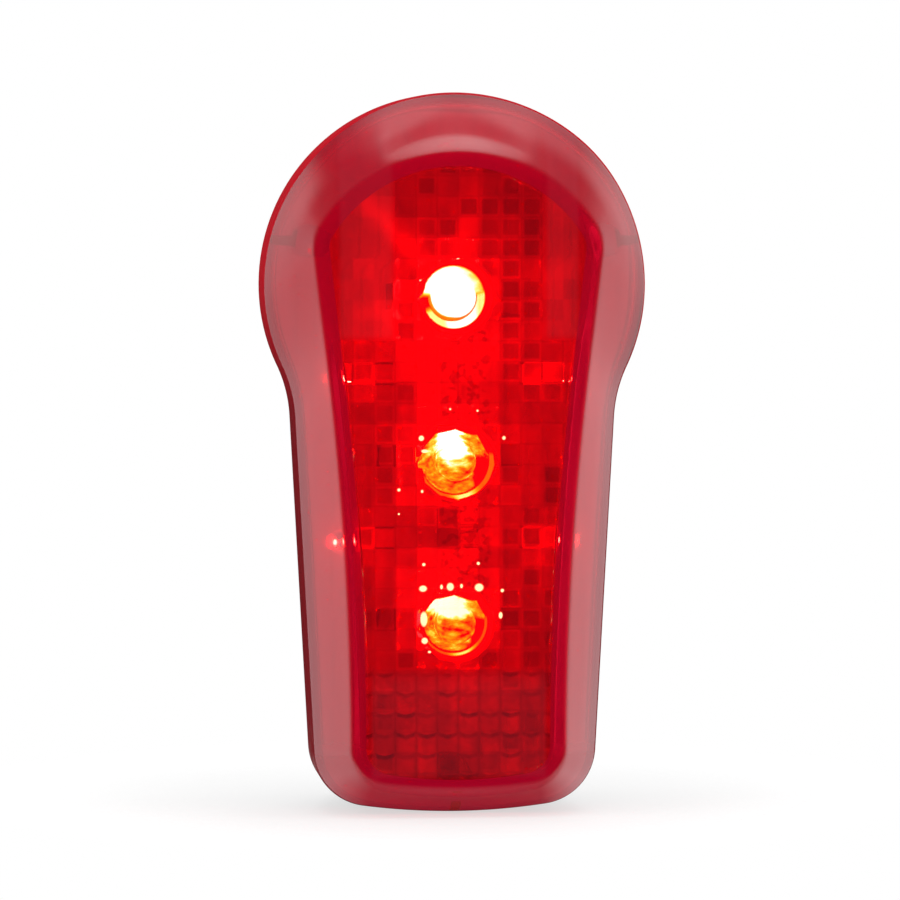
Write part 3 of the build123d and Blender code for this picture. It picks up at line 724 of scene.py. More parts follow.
# %% Materials
class Finish(Tree):
    """A material in the making, on Object coordinates."""

    def __init__(self, name, colour, roughness, **plain):
        self.material = bpy.data.materials.new(name)
        super().__init__(self.material)
        self.shader = self.tree.nodes["Principled BSDF"]
        self.output = self.tree.nodes["Material Output"]
        self.place = self.add("ShaderNodeTexCoord").outputs["Object"]
        self.put(Base_Color=colour, Roughness=roughness, **plain)

    def put(self, **values):
        """Values or outputs for sockets of the main shader."""
        for socket, value in values.items():
            self.feed(self.shader.inputs[socket.replace("_", " ")], value)

    def xyz(self):
        """x, y and z, in metres."""
        return self.parts(self.place)

    def noise(self, scale, detail=3.0, stretch=(1, 1, 1)):
        """Noise from 0 to 1 at a scale per metre, stretched along the axes."""
        mapping = self.add("ShaderNodeMapping")
        mapping.inputs["Scale"].default_value = stretch
        self.feed(mapping.inputs["Vector"], self.place)
        node = self.add("ShaderNodeTexNoise")
        node.inputs["Scale"].default_value = scale
        node.inputs["Detail"].default_value = detail
        self.feed(node.inputs["Vector"], mapping.outputs["Vector"])
        return Number(self, node.outputs["Fac"])

    def vary_roughness(self, scale, low, high):
        """Roughness that wanders between two values."""
        self.put(Roughness=self.noise(scale).rise(0.3, 0.7, low, high))

    def ramp(self, factor, *stops, mode="LINEAR"):
        """Colours along a factor, each stop a position and a colour or a grey."""
        node = self.add("ShaderNodeValToRGB")
        node.color_ramp.interpolation = mode
        elements = node.color_ramp.elements
        while len(elements) < len(stops):
            elements.new(0.5)
        for element, (position, value) in zip(elements, stops):
            element.position = position
            element.color = (*value, 1) if isinstance(value, tuple) else (value, value, value, 1)
        self.feed(node.inputs["Fac"], factor)
        return node.outputs["Color"]

    def soft_edges(self, radius):
        """Normal that rounds sharp edges by a radius, and how near an edge is, from 0 to 1."""
        bevel = self.add("ShaderNodeBevel", samples=6)
        bevel.inputs["Radius"].default_value = radius
        alike = self.add("ShaderNodeVectorMath", operation="DOT_PRODUCT")
        self.feed(alike.inputs[0], bevel.outputs["Normal"])
        self.feed(alike.inputs[1], self.add("ShaderNodeNewGeometry").outputs["Normal"])
        return bevel.outputs["Normal"], Number(self, alike.outputs["Value"]).rise(0.985, 0.9)

    def bump(self, height, depth, strength, normal=None):
        """Relief of a depth in metres from a height of 0 to 1, on the plain or a given normal."""
        node = self.add("ShaderNodeBump")
        if normal:
            self.feed(node.inputs["Normal"], normal)
        node.inputs["Strength"].default_value = strength
        node.inputs["Distance"].default_value = depth
        self.feed(node.inputs["Height"], height)
        self.put(Normal=node.outputs["Normal"])

    def let_through(self, factor, colour=(1.0, 1.0, 1.0)):
        """Where the factor is 1, a plain filter of a colour takes the place of the main shader."""
        clear = self.add("ShaderNodeBsdfTransparent")
        self.feed(clear.inputs["Color"], colour)
        both = self.add("ShaderNodeMixShader")
        self.feed(both.inputs["Fac"], factor)
        self.feed(both.inputs[1], self.shader.outputs["BSDF"])
        self.feed(both.inputs[2], clear.outputs["BSDF"])
        self.feed(self.output.inputs["Surface"], both.outputs["Shader"])

    def dress(self, *pieces):
        """Put the finish on pieces or on nodes by name, after the finishes that they have."""
        for piece in pieces:
            if isinstance(piece, str):
                nodes[piece].data.materials.clear()
                piece = nodes[piece]
            piece.data.materials.append(self.material)
            print(self.material.name, "on", piece.name)


def bell(square, reach=1.0):
    """e to the power of minus the square of a distance, measured in reaches: 1 in the middle."""
    return (square * (-1 / reach ** 2)).do("EXPONENT")


def square_off(x, z, middle_x, middle_z, half_width, half_height):
    """Square of how far a place is from a spot's middle, in the spot's half widths and heights."""
    off_x = (x - middle_x) * (1 / half_width)
    off_z = (z - middle_z) * (1 / half_height)
    return off_x * off_x + off_z * off_z


# %% [markdown]
# ## Red plastic
#
# The cover is clear plastic, dyed deep red. Glass shaders block the light of lamps behind them in
# Cycles, so for shadow rays the cover is a plain tinted filter. A little of it scatters, which
# gives the red body that the photograph shows even where nothing shines. The skirt is etched to a
# satin, and its red carries painted shade: darker below the head. The pillows' tint is painted shade
# and their glow painted light: dark squares, lines and spots, and halos round the lamps.

# %% Clear red plastic
deep_red = (0.46, 0.0025, 0.016)
pillow_red = (0.85, 0.0040, 0.022)
pale_red = (0.8, 0.02, 0.035)
shadow_red = (0.75, 0.055, 0.14)
# painted shade: a dark and a light copy of the skirt's red, for how light falls on it
shaded_lower_skirt_red = (0.22, 0.001, 0.006)
lit_upper_skirt_red = (0.62, 0.0024, 0.014)
# painted shade: a darker red for the upper posts
shaded_upper_post_red = (0.2, 0.001, 0.008)
cloud_scale = 420.0
low_rows_z = -11 * mm


def red_plastic(name, colour, roughness, clearness=0.8, **plain):
    """Dyed plastic with cloudy colour, and a tinted filter instead for shadow rays."""
    finish = Finish(name, colour, roughness, Transmission_Weight=clearness, IOR=1.55, **plain)
    low = tuple(channel * 0.93 for channel in colour)
    finish.put(Base_Color=finish.mix(finish.noise(55.0, 2.0), low, colour))
    finish.vary_roughness(cloud_scale, roughness * 0.6, roughness * 1.5)
    finish.let_through(finish.rays("Is Shadow Ray")[0], shadow_red)
    return finish


# %% Counting pillows, and a random number for each
def pillow_place(finish):
    """x and z, and how many pillows they are from the middle line and the pillows' own line."""
    x, _, z = finish.xyz()
    return x, z, x / pillow_width, (z - pillow_line_z) / pillow_height


def chance(finish, first, second):
    """Random number from 0 to 1 for each pair of whole numbers."""
    pair = finish.add("ShaderNodeCombineXYZ")
    finish.feed(pair.inputs["X"], first)
    finish.feed(pair.inputs["Y"], second)
    node = finish.add("ShaderNodeTexWhiteNoise", noise_dimensions="2D")
    finish.feed(node.inputs["Vector"], pair.outputs["Vector"])
    return Number(finish, node.outputs["Value"])


# %% Tint of the pillows, which is painted shade
def dark_squares(finish, x, z, column, row, textured):
    """Painted shade: one, less in a square on some pillows, of which there are more at the right and
    above.
    """
    right = x.rise(5.0 * mm, 5.4 * mm, 0.0, 0.3)
    right = right * z.rise(panel_z - 1 * mm, panel_z + 1 * mm, 1.0, 1.8)
    high = z.rise(41 * mm, 43 * mm, 0.0, 0.25)
    left = x.rise(-6.0 * mm, -8.0 * mm, 0.0, 0.12)
    level = chance(finish, column.do("FLOOR"), row.do("FLOOR")) + right + high + left
    depth = level.rise(0.55, 1.1, 0.0, 0.5) * textured
    within = column.do("PINGPONG", 0.5).rise(0.06, 0.2) * row.do("PINGPONG", 0.5).rise(0.06, 0.2)
    return 1.0 - depth * within


def shade_clouds_and_spots(finish, x, z, textured):
    """Painted shade: slow clouds, upright streaks, and dark spots in a strip along the middle."""
    clouds = finish.noise(230.0, 2.0).rise(0.35, 0.65, 0.78, 1.0)
    streaks = finish.noise(480.0, 2.0, (1, 1, 0.1)).rise(0.38, 0.62, 0.84, 1.0)
    strip = abs(x - 0.9 * mm).rise(3.6 * mm, 2.6 * mm) * abs(z - 14 * mm).rise(22 * mm, 20 * mm)
    spots = finish.noise(950.0, 1.0).rise(0.5, 0.4, 0.0, 0.42) * strip
    return clouds * streaks * (1.0 - spots * textured)


def lines_and_ledges(finish, column, row, low_rows):
    """Painted shade: thin lines between the pillows, and in the low rows dark uprights and wavy
    upper edges.
    """
    from_side = column.do("PINGPONG", 0.5)
    lines = from_side.do("MINIMUM", row.do("PINGPONG", 0.5)).rise(0.01, 0.07, 0.82, 1.0)
    lines = lines * (1.0 - from_side.rise(0.2, 0.02, 0.0, 0.26) * low_rows)
    upper_edge = (from_side * 0.3 + row).do("FRACT").rise(0.72, 0.86, 0.0, 0.66)
    uneven = chance(finish, row.do("FLOOR"), column.do("FLOOR")).rise(0.0, 1.0, 0.2, 1.0)
    upper_edge = upper_edge * (uneven * from_side.rise(0.0, 0.15, 0.3, 1.0))
    blotches = finish.noise(760.0, 4.0).rise(0.44, 0.6, 0.0, 0.16)
    return lines * (1.0 - (upper_edge + blotches) * low_rows)


def shade_pillows(finish):
    """Colour of the pillows with painted shade, plain in the two panels above. Returns the painted
    shade as a grey.
    """
    x, z, column, row = pillow_place(finish)
    low_rows = z.rise(low_rows_z, low_rows_z - 2 * mm)
    textured = 1.0
    for place in ("top", "middle", "foot"):
        upright = z - middle_of(f"lamp_{place}").z
        out = (upright * upright + x * x).do("SQRT")
        textured = out.rise(clear_radius, clear_radius + 0.1 * mm) * textured
    # painted shade: darker squares, clouds, streaks, spots and lines for what is seen through the
    # pillows
    grey = dark_squares(finish, x, z, column, row, textured)
    grey = grey * shade_clouds_and_spots(finish, x, z, textured)
    grey = grey * lines_and_ledges(finish, column, row, low_rows)
    past_right = x.rise(panel_right_x - blur / 2, panel_right_x + blur / 2)
    past_left = x.rise(panel_left_x + blur / 2, panel_left_x - blur / 2)
    panel = (past_right + past_left) * z.rise(panel_z - blur / 2, panel_z + blur / 2)
    dyed = finish.mix(1.0, grey, finish.mix(low_rows * 0.6, pillow_red, pale_red), "MULTIPLY")
    finish.put(Base_Color=finish.mix(panel, dyed, pale_red))
    return grey.do("MAXIMUM", panel)


# %% Where the cover gets a painted haze, where the skirt's painted shade gets lighter, and where the upper posts are
painted_haze_colour = (0.0, 0.7, 1.0)
painted_haze_strength = 0.006
painted_haze_fade = 0.8 * mm
high_painted_haze_half_width = 15.2 * mm
low_painted_haze_half_width = 11.2 * mm
low_painted_haze_foot_z = -25.5 * mm
dark_skirt_z = 18 * mm
light_skirt_z = 40 * mm
upper_posts_z = 30 * mm
print("height of the low veil in mm:", round((low_rows_z - low_painted_haze_foot_z) / mm, 2))


# %% The other finishes of the cover and its posts
def dress_outside():
    """Glossy outside; a painted haze, a faint blue glow, dulls the red of the two panels and the low
    rows.
    """
    finish = red_plastic("red_cover_glossy", deep_red, 0.02)
    x, _, z = finish.xyz()
    left = x.rise(panel_left_x, panel_left_x - 1 * mm)
    right = x.rise(panel_right_x, panel_right_x + 1 * mm)
    high = (left + right) * z.rise(panel_z, panel_z + 1 * mm)
    high = high * abs(x).rise(high_painted_haze_half_width, high_painted_haze_half_width - painted_haze_fade)
    low = z.rise(low_rows_z, low_rows_z - 3 * mm)
    low = low * z.rise(low_painted_haze_foot_z, low_painted_haze_foot_z + 1 * mm)
    low = low * abs(x).rise(low_painted_haze_half_width, low_painted_haze_half_width - painted_haze_fade)
    # painted haze: a faint glow that stands for reflected light
    painted_haze = high.do("MAXIMUM", low) * painted_haze_strength
    finish.put(Emission_Color=painted_haze_colour, Emission_Strength=painted_haze)
    finish.dress(lens)


def dress_skirt():
    """Satin skirt without gloss, with painted shade: darker below the head."""
    finish = red_plastic("red_cover_satin", deep_red, 0.45, 0.2, Specular_IOR_Level=0.0)
    height = finish.xyz()[2].rise(dark_skirt_z, light_skirt_z)
    # painted shade: the skirt's red goes from a dark copy below the head to a light one round it
    finish.put(Base_Color=finish.mix(height, shaded_lower_skirt_red, lit_upper_skirt_red))
    finish.dress(lens)


def dress_inner_skin():
    """Hazy inner skin with a little painted glow at the foot and the top, less towards the joint."""
    finish = red_plastic("red_cover_hazy", deep_red, 0.14, 0.6)
    _, y, z = finish.xyz()
    # painted glow: the inner skin is no lamp
    glow = z.rise(-23 * mm, -28 * mm, 0.2, 0.42) + z.rise(46 * mm, 56 * mm, 0.0, 0.1)
    glow = glow * y.rise(joint_y - 4 * mm, joint_y - 2 * mm, 1.0, 0.1)
    finish.put(Emission_Color=(1.0, 0.0, 0.35), Emission_Strength=glow)
    haze = finish.noise(cloud_scale).rise(0.3, 0.7, 0.08, 0.2)
    finish.put(Roughness=haze + z.rise(-20 * mm, -24 * mm, 0.0, 0.5))
    finish.dress(lens)


def dress_posts():
    """Clear posts, of which the upper two get painted shade, darker, and a little painted glow."""
    finish = red_plastic("red_posts", pillow_red, 0.05)
    height = finish.xyz()[2].rise(0.0, upper_posts_z)
    # painted shade and painted glow on the upper two posts
    finish.put(Base_Color=finish.mix(height, pillow_red, shaded_upper_post_red))
    finish.put(Emission_Color=(1.0, 0.02, 0.1), Emission_Strength=height * 0.12)
    finish.dress(posts)


dress_outside()
dress_skirt()
pillow_plastic = red_plastic("red_cover_pillows", pillow_red, 0.03)
pillow_painted_shade = shade_pillows(pillow_plastic)
pillow_plastic.dress(lens)
dress_inner_skin()
dress_posts()
print("finishes of the cover:", [material.name for material in lens.data.materials])

# %% [markdown]
# ## Lamps, bowls and board
#
# A lit lamp is far brighter than the rest, and a dyed cover passes little of its green and blue.
# Its middle still looks white through the cover, and its rim yellow and orange, so the lamp shows
# itself a yellowish white. What it throws on its neighbours is plain red. Light Path tells the two
# apart.

# %% What a lamp shows, and what it throws
thrown_red = (1.0, 0.02, 0.01)
lit_red = (1.0, 0.005, 0.002)
bare_white = (1.0, 0.9, 0.1)


def shine(finish, colour, shown, mirrored, thrown):
    """Emission with a strength each for being seen, also through glass, mirrored and thrown."""
    camera, through_glass, mirror, bounces = finish.rays(
        "Is Camera Ray", "Is Transmission Ray", "Is Glossy Ray", "Diffuse Depth"
    )
    seen = camera.do("MAXIMUM", through_glass) * bounces.do("LESS_THAN", 0.5)
    unseen = mirror * (mirrored - thrown) + thrown
    finish.put(Emission_Color=finish.mix(seen, thrown_red, colour))
    finish.put(Emission_Strength=seen * (shown - unseen) + unseen)


# %% Glow of a front lamp, and painted light on its bowl
def front_glow(finish, middle, crown_height, core, base, texture, peak, reach):
    """Glow from 0 to 1 under a crown of arcs, whose points stand on the lines between pillows.

    The core is x, z, width and height of its bright spot, in millimetres from the lamp's axis.
    The spot is e to the power of minus the squares of how far a point is from its middle, in
    widths and heights. The reach is how far the glow goes out above the axis, below it and to
    the right below it.
    """
    x, _, z = finish.xyz()
    across = x - middle.x
    upright = z - middle.z
    wide = across * across
    out = (upright * upright + wide).do("SQRT")
    phase = ((across - 0.24 * mm) / pillow_width).do("PINGPONG", 0.5)
    sag = phase * (phase * -4.0 + 4.0) * (wide * 50.0 + 0.25 * mm)
    edge = wide * abs(across) * -25000.0 + crown_height * mm
    under = (edge - sag - upright).rise(-0.06 * mm, 0.08 * mm)
    spot = bell(square_off(across, upright, *(size * mm for size in core)))
    body = (finish.noise(620.0, 5.0, (1, 1, 2.2)) - 0.5) * texture + base
    body = (spot * 1.3 + body).do("MINIMUM", peak)
    above, below, right = (part * mm for part in reach)
    lower = out.rise(below + 0.1 * mm, below - 0.25 * mm) * across.rise(right, right - 0.7 * mm)
    upper = out.rise(above + 0.1 * mm, above - 0.2 * mm)
    within = upright.rise(-0.5 * mm, 0.8 * mm) * (upper - lower) + lower
    return body * under * within, across, upright, out


def ring(out, inner, outer, soft=0.08):
    """One between two distances, in millimetres, and zero elsewhere."""
    from_inside = out.rise((inner - soft) * mm, (inner + soft) * mm)
    return from_inside * out.rise((outer + soft) * mm, (outer - soft) * mm)


def glow_shine(finish, glow, thrown):
    """Emission of a glow: red, orange, yellow, cream and white as they look through the cover."""
    colour = finish.ramp(
        glow, (0.25, (1.0, 0.0, 0.0)), (0.42, (1.0, 0.09, 0.0)), (0.6, (1.0, 0.25, 0.0)),
        (0.75, (1.0, 0.55, 0.006)), (0.88, (1.0, 0.78, 0.035)), (1.0, (1.0, 1.0, 0.15)),
    )
    shine(finish, colour, glow.rise(0.1, 0.35, 3.0, 800.0), 3.0, thrown)


# %% Front lamps with their bowls
def dress_front_pair(place, thrown, lip, **glow_shape):
    """Clear 5 mm body and its plated bowl, in one glow, which on the bowl is painted light.

    The lip is a ring's two radii, in millimetres, its own glow, and the glow of all that it holds.
    """
    inner, outer, lip_glow, dim_glow = lip
    for node, colour, roughness, metallic in (
        (f"lamp_{place}", (0.85, 0.83, 0.8), 0.08, 0.0),
        (f"bowl_{place}", (0.86, 0.84, 0.82), 0.12, 1.0),
    ):
        finish = Finish(f"shining_{node}", colour, roughness, Metallic=metallic)
        glow, across, upright, out = front_glow(finish, middle_of(f"bowl_{place}"), **glow_shape)
        # painted highlights: a bright ring at the bowl's lip, stronger in a crescent below and right
        below = (upright - across * 0.35).rise(0.4 * mm, -1.2 * mm)
        crescent = across.rise(-1.2 * mm, 0.8 * mm) * across.rise(3.4 * mm, 1.6 * mm)
        rim = ring(out, inner, outer) * (crescent * 0.45 + lip_glow) * below
        dim = out.rise(inner * mm, (inner - 0.1) * mm) * dim_glow
        glow_shine(finish, glow.do("MAXIMUM", rim).do("MAXIMUM", dim), thrown)
        finish.vary_roughness(900.0, roughness * 0.6, roughness * 1.5)
        finish.bump(finish.noise(850.0, 4.0), 0.00002, 0.4)
        finish.dress(node)


dress_front_pair(
    "top", thrown=3.0, lip=(3.08, 3.95, 0.88, 0.5), crown_height=4.3,
    core=(-0.5, 0.4, 3.2, 3.4), base=0.5, texture=0.4, peak=2.0, reach=(3.95, 2.72, 9.0),
)
dress_front_pair(
    "middle", thrown=3.0, lip=(4.35, 4.75, 0.42, 0.15), crown_height=3.8,
    core=(-0.5, 2.2, 1.6, 2.2), base=0.5, texture=1.5, peak=2.0, reach=(9.0, 4.3, 3.0),
)
dress_front_pair(
    "foot", thrown=3.2, lip=(3.9, 4.2, 0.38, 0.15), crown_height=3.3,
    core=(-0.7, 2.1, 2.1, 1.1), base=0.46, texture=1.4, peak=0.95, reach=(9.0, 3.8, 2.7),
)


# %% Side lamps
def dress_side_lamp(node):
    """Clear 3 mm body, red and mottled, with a small white spot near its tip."""
    low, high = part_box(node)
    outside = max(abs(low.x), abs(high.x))
    finish = Finish(f"shining_{node}", (0.85, 0.6, 0.55), 0.08)
    x, _, z = finish.xyz()
    out = abs(x)
    tip = out.rise(outside - 0.35 * mm, outside - 0.15 * mm)
    off = square_off(out, z, outside - 0.7 * mm, (low.z + high.z) / 2, 0.22 * mm, 0.4 * mm)
    bright = off.rise(1.0, 0.5).do("MAXIMUM", tip * 0.04)
    colour = finish.mix(bright.rise(0.0, 0.1), (1.0, 0.01, 0.0), bare_white)
    body = finish.noise(520.0).rise(0.35, 0.65, 0.5, 2.8)
    shine(finish, colour, bright * 1500.0 + body, 1.0, 3.0)
    finish.vary_roughness(900.0, 0.04, 0.12)
    finish.dress(node)


for level in ("upper", "lower"):
    for side in ("left", "right"):
        dress_side_lamp(f"side_lamp_{level}_{side}")

# %% Where painted light glows in the pillows: halos and rays, and sparks in millimetres from a lamp's axis
halos = (("top", 8.0, 1.1), ("middle", 7.0, 0.75), ("foot", 6.5, 0.7))
top_rays = ((134, 24, 1.3), (82, 19, 1.1), (188, 18, 0.5), (14, 20, 0.4))
ray_half_width = 1.3 * mm
sparks_round = {
    "middle": (
        (-4.6, 3.0, 0.34, 0.34), (5.7, 3.0, 0.22, 0.24), (-4.2, 1.4, 0.42, 0.22),
        (-1.0, 6.6, 0.13, 0.13), (2.4, 6.4, 0.14, 0.14), (-7.4, -3.4, 0.2, 0.2),
        (-4.5, -3.6, 0.16, 0.2), (-7.4, -6.4, 0.13, 0.13),
    ),
    "foot": (
        (-4.4, 4.7, 0.5, 0.4), (-2.1, 4.9, 0.18, 0.3), (-1.0, 4.9, 0.45, 0.5),
        (0.4, 5.0, 0.18, 0.28), (2.6, 4.8, 0.55, 0.5), (5.5, 4.4, 0.22, 0.22),
        (-4.3, 7.7, 0.22, 0.2), (2.5, 7.8, 0.2, 0.2), (-4.3, 0.9, 0.45, 0.95),
        (-4.2, -1.8, 0.4, 0.4), (5.3, 1.3, 0.24, 0.42), (-3.6, -3.2, 0.2, 0.16),
    ),
}
print("sparks:", {place: len(spots) for place, spots in sparks_round.items()})


# %% Sparks, halos and rays in the pillows
def light_pillows(finish, painted_shade):
    """Painted light: red glow round the lamps in whole pillows, rays from the top lamp, sparks round
    the others.

    A halo is a lamp, a reach and a glow: e to the power of minus the square of how far a
    pillow's middle is from the lamp, in reaches. A ray is an angle, a length and a glow. A spark
    is an across, an upright, a half width and a half height.
    """
    x, z, column, row = pillow_place(finish)
    column_number = column.do("FLOOR")
    row_number = row.do("FLOOR")
    pillow_x = column_number * pillow_width + pillow_width / 2
    pillow_z = row_number * pillow_height + (pillow_line_z + pillow_height / 2)
    glow = finish.noise(330.0, 2.0, (1, 1, 0.4)).rise(0.35, 0.65, 0.1, 0.36)
    glow = glow + z.rise(low_rows_z + 1 * mm, low_rows_z - 3 * mm, 0.0, 0.14)
    for place, reach, level in halos:
        away_z = pillow_z - middle_of(f"lamp_{place}").z
        glow = bell(away_z * away_z + pillow_x * pillow_x, reach * mm) * level + glow
    sparks = 0.0
    for place, spots in sparks_round.items():
        lamp_z = middle_of(f"lamp_{place}").z
        for spot in spots:
            across, upright, half_width, half_height = (size * mm for size in spot)
            off = square_off(x, z, across, lamp_z + upright, half_width, half_height)
            sparks = off.rise(1.3, 0.4).do("MAXIMUM", sparks)
    glow = glow * chance(finish, row_number, column_number).rise(0.0, 1.0, 0.45, 1.0)
    height = z - middle_of("lamp_top").z
    for angle, length, level in top_rays:
        ahead_x, ahead_z = unit(math.radians(angle))
        along = x * ahead_x + height * ahead_z
        beside = height * ahead_x - x * ahead_z
        reach = along.rise(length * mm, 5 * mm) * along.rise(2 * mm, 5 * mm)
        glow = glow + bell(beside * beside, ray_half_width) * (reach * level)
    # painted glints: white-hot sparks, over a painted red glow in the pillows
    colour = finish.mix(sparks.rise(0.0, 0.3), (1.0, 0.002, 0.0), (0.08, 1.0, 0.2))
    finish.put(Emission_Color=colour, Emission_Strength=sparks * 30.0 + glow * painted_shade)


light_pillows(pillow_plastic, pillow_painted_shade)
print("nodes in the pillows' finish:", len(pillow_plastic.tree.nodes))


# %% Pale board
def dress_board():
    """Pale painted board with tracks that bend to and fro, and the front lamps' light painted on it
    in patches.
    """
    front_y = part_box("circuit_board")[0].y
    finish = Finish("pale_board_lacquer", (0.8, 0.8, 0.78), 0.35)
    x, y, z = finish.xyz()
    bend = z.do("PINGPONG", 11 * mm).rise(4 * mm, 6.5 * mm, 0.0, 2.2 * mm)
    track = ((x + bend) * 2600.0).do("SINE").rise(0.8, 0.95)
    finish.put(Base_Color=finish.mix(track * 0.45, (0.82, 0.82, 0.79), (0.5, 0.52, 0.48)))
    finish.vary_roughness(700.0, 0.25, 0.45)
    finish.bump(track, 0.00003, 0.6)
    # painted light: red patches of emission that stand for the lamps' light on the board
    between = z.rise(-11 * mm, 0.0) * z.rise(44 * mm, 34 * mm)
    patches = finish.noise(190.0, 1.0).rise(0.35, 0.65, 0.25, 1.0)
    front = y.rise(front_y + 0.5 * mm, front_y + 0.2 * mm, 0.0, 1.5)
    shine(finish, lit_red, bell(x * x, 8.5 * mm) * between * (patches * front), 0.0, 0.0)
    finish.dress("circuit_board")


dress_board()

# %% [markdown]
# ## Moulded plastic, rubber and metal
#
# Spark-eroded moulds leave a fine even grain on dark plastic, which catches light as thousands of
# dull dots. The clip is the same plastic with a coarser grain. Plated contacts, spring wire and
# screws are metals with fine draw marks, and the cells wear a printed sleeve with bare ends.

# %% Dark plastics and rubber
def grained_plastic(name, colour, grain, depth, low, high, *pieces):
    """Moulded plastic: two near colours, an even grain, a slow change of gloss and polished edges.

    The grain is a noise scale per metre with a depth in metres, and low and high are roughnesses.
    """
    finish = Finish(name, colour, low)
    rounded, edge = finish.soft_edges(0.25 * mm)
    lighter = tuple(channel * 1.15 + 0.002 for channel in colour)
    worn = tuple(channel * 2.0 + 0.012 for channel in colour)
    plain = finish.mix(finish.noise(420.0, 4.0), colour, lighter)
    wear = edge * finish.noise(300.0, 4.0).rise(0.4, 0.65, 0.25, 1.0)
    finish.put(Base_Color=finish.mix(wear, plain, worn))
    finish.vary_roughness(240.0, low, high)
    finish.bump(finish.noise(grain, 2.0), depth, 0.7, rounded)
    finish.dress(*pieces)
    return finish


black = (0.018, 0.018, 0.02)
grained_plastic("housing_plastic", black, 2600.0, 0.00006, 0.49, 0.55, "rear_housing")
clip_black = (0.024, 0.024, 0.026)
grained_plastic("clip_plastic", clip_black, 1700.0, 0.00008, 0.52, 0.59, "clip_foot", "clip_tongue")
dark_grey = (0.05, 0.05, 0.055)
grained_plastic("retainer_plastic", dark_grey, 2200.0, 0.00004, 0.5, 0.7, "button_retainer")
grained_plastic("button_rubber", (0.03, 0.03, 0.032), 3200.0, 0.00005, 0.65, 0.85, "push_button")
grained_plastic("seal_rubber", (0.035, 0.035, 0.035), 2800.0, 0.00004, 0.7, 0.9, "joint_seal")
chip_brown = (0.34, 0.27, 0.25)
chip_epoxy = grained_plastic("chip_epoxy", chip_brown, 5200.0, 0.00002, 0.5, 0.65, "control_chip")
# painted light: a red glow on the chip that stands for the lamps' light on it
shine(chip_epoxy, lit_red, chip_epoxy.noise(600.0, 1.0).rise(0.4, 0.6, 0.25, 1.3), 0.0, 0.0)
grained_plastic("resistor_body", (0.3, 0.2, 0.13), 4800.0, 0.00002, 0.35, 0.5, "resistors")
grained_plastic("switch_body", (0.03, 0.03, 0.032), 3600.0, 0.00003, 0.45, 0.6, "switch_base")
grained_plastic("switch_stem_plastic", (0.3, 0.05, 0.04), 3600.0, 0.00002, 0.35, 0.5, "switch_stem")


# %% Metals
def drawn_metal(name, colour, low, high, stretch, *pieces):
    """Bare metal with fine marks along the way that it was drawn or rolled."""
    finish = Finish(name, colour, low, Metallic=1.0)
    marks = finish.noise(2400.0, 3.0, stretch)
    finish.put(Base_Color=finish.mix(marks, tuple(channel * 0.82 for channel in colour), colour))
    finish.put(Roughness=marks.rise(0.3, 0.7, low, high))
    finish.bump(marks, 0.00001, 0.5)
    finish.dress(*pieces)


plates = (
    "bridge_contact", "positive_contact", "negative_contact", "positive_finger", "negative_finger"
)
drawn_metal("contact_plating", (0.72, 0.7, 0.66), 0.18, 0.34, (1, 1, 0.15), *plates)
drawn_metal("spring_steel", (0.6, 0.6, 0.6), 0.2, 0.36, (1, 1, 1), "spring_left", "spring_right")
drawn_metal("lead_tin", (0.68, 0.68, 0.66), 0.25, 0.4, (1, 1, 1), "lamp_leads")
drawn_metal("screw_steel", (0.5, 0.49, 0.47), 0.22, 0.4, (1, 0.3, 1), "board_screws", "clip_screws")
drawn_metal("capacitor_can", (0.62, 0.64, 0.68), 0.2, 0.32, (1, 0.2, 1), "capacitor")


# %% Cells
def dress_cell(node, nub_up):
    """A cell has a dark sleeve, a copper-coloured band at its nub end and bare steel ends."""
    steel, sleeve, copper = (0.55, 0.54, 0.52), (0.018, 0.022, 0.035), (0.62, 0.3, 0.12)
    sleeve_start, copper_start, nub_start = 0.015, 0.74, 0.972
    low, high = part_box(node)
    finish = Finish(f"sleeve_of_{node}", black, 0.3)
    share = (finish.xyz()[2] - low.z) / (high.z - low.z)
    if not nub_up:
        share = 1.0 - share
    colours = (0.0, steel), (sleeve_start, sleeve), (copper_start, copper), (nub_start, steel)
    metals = (0.0, 1.0), (sleeve_start, 0.0), (copper_start, 0.75), (nub_start, 1.0)
    colour = finish.ramp(share, *colours, mode="CONSTANT")
    scuffed = finish.mix(finish.noise(500.0) * 0.25, colour, (0.1, 0.1, 0.1))
    finish.put(Base_Color=scuffed, Metallic=finish.ramp(share, *metals, mode="CONSTANT"))
    finish.vary_roughness(800.0, 0.2, 0.36)
    finish.dress(node)


dress_cell("cell_left", True)
dress_cell("cell_right", False)
print("materials:", len(bpy.data.materials))

# %% [markdown]
# ## Light, floor and background
#
# Glossy plastic shows the room more than it shows itself. A light tent is bright at both sides and
# above and dim where the camera stands, so the flat window stays free of glare and the bevel is
# veiled in white. Soft lamps give that light, and the world gives its reflection, because its edges
# can fade.

# %% Soft lamps, not seen in reflections
def soft_lamp(name, place, width, height, radiance):
    """Rectangular lamp that faces the light, with the power that gives it a radiance."""
    data = bpy.data.lights.new(name, "AREA")
    data.shape = "RECTANGLE"
    data.size = width
    data.size_y = height
    data.energy = math.pi * width * height * radiance
    lamp = bpy.data.objects.new(name, data)
    lamp.location = place
    lamp.rotation_euler = (Vector(place) - Vector((0, 0, 0.015))).to_track_quat("Z", "Y").to_euler()
    lamp.visible_glossy = False
    scene.collection.objects.link(lamp)
    print(name, "power in watts:", round(data.energy, 2))


soft_lamp("left_softbox", (-0.5, -0.1, 0.15), 0.5, 0.5, 0.9)
soft_lamp("right_softbox", (0.5, -0.1, 0.15), 0.5, 0.5, 0.9)
soft_lamp("top_softbox", (0.0, -0.05, 0.55), 0.45, 0.35, 1.5)
soft_lamp("back_softbox", (0.18, 0.5, 0.3), 0.4, 0.4, 1.4)


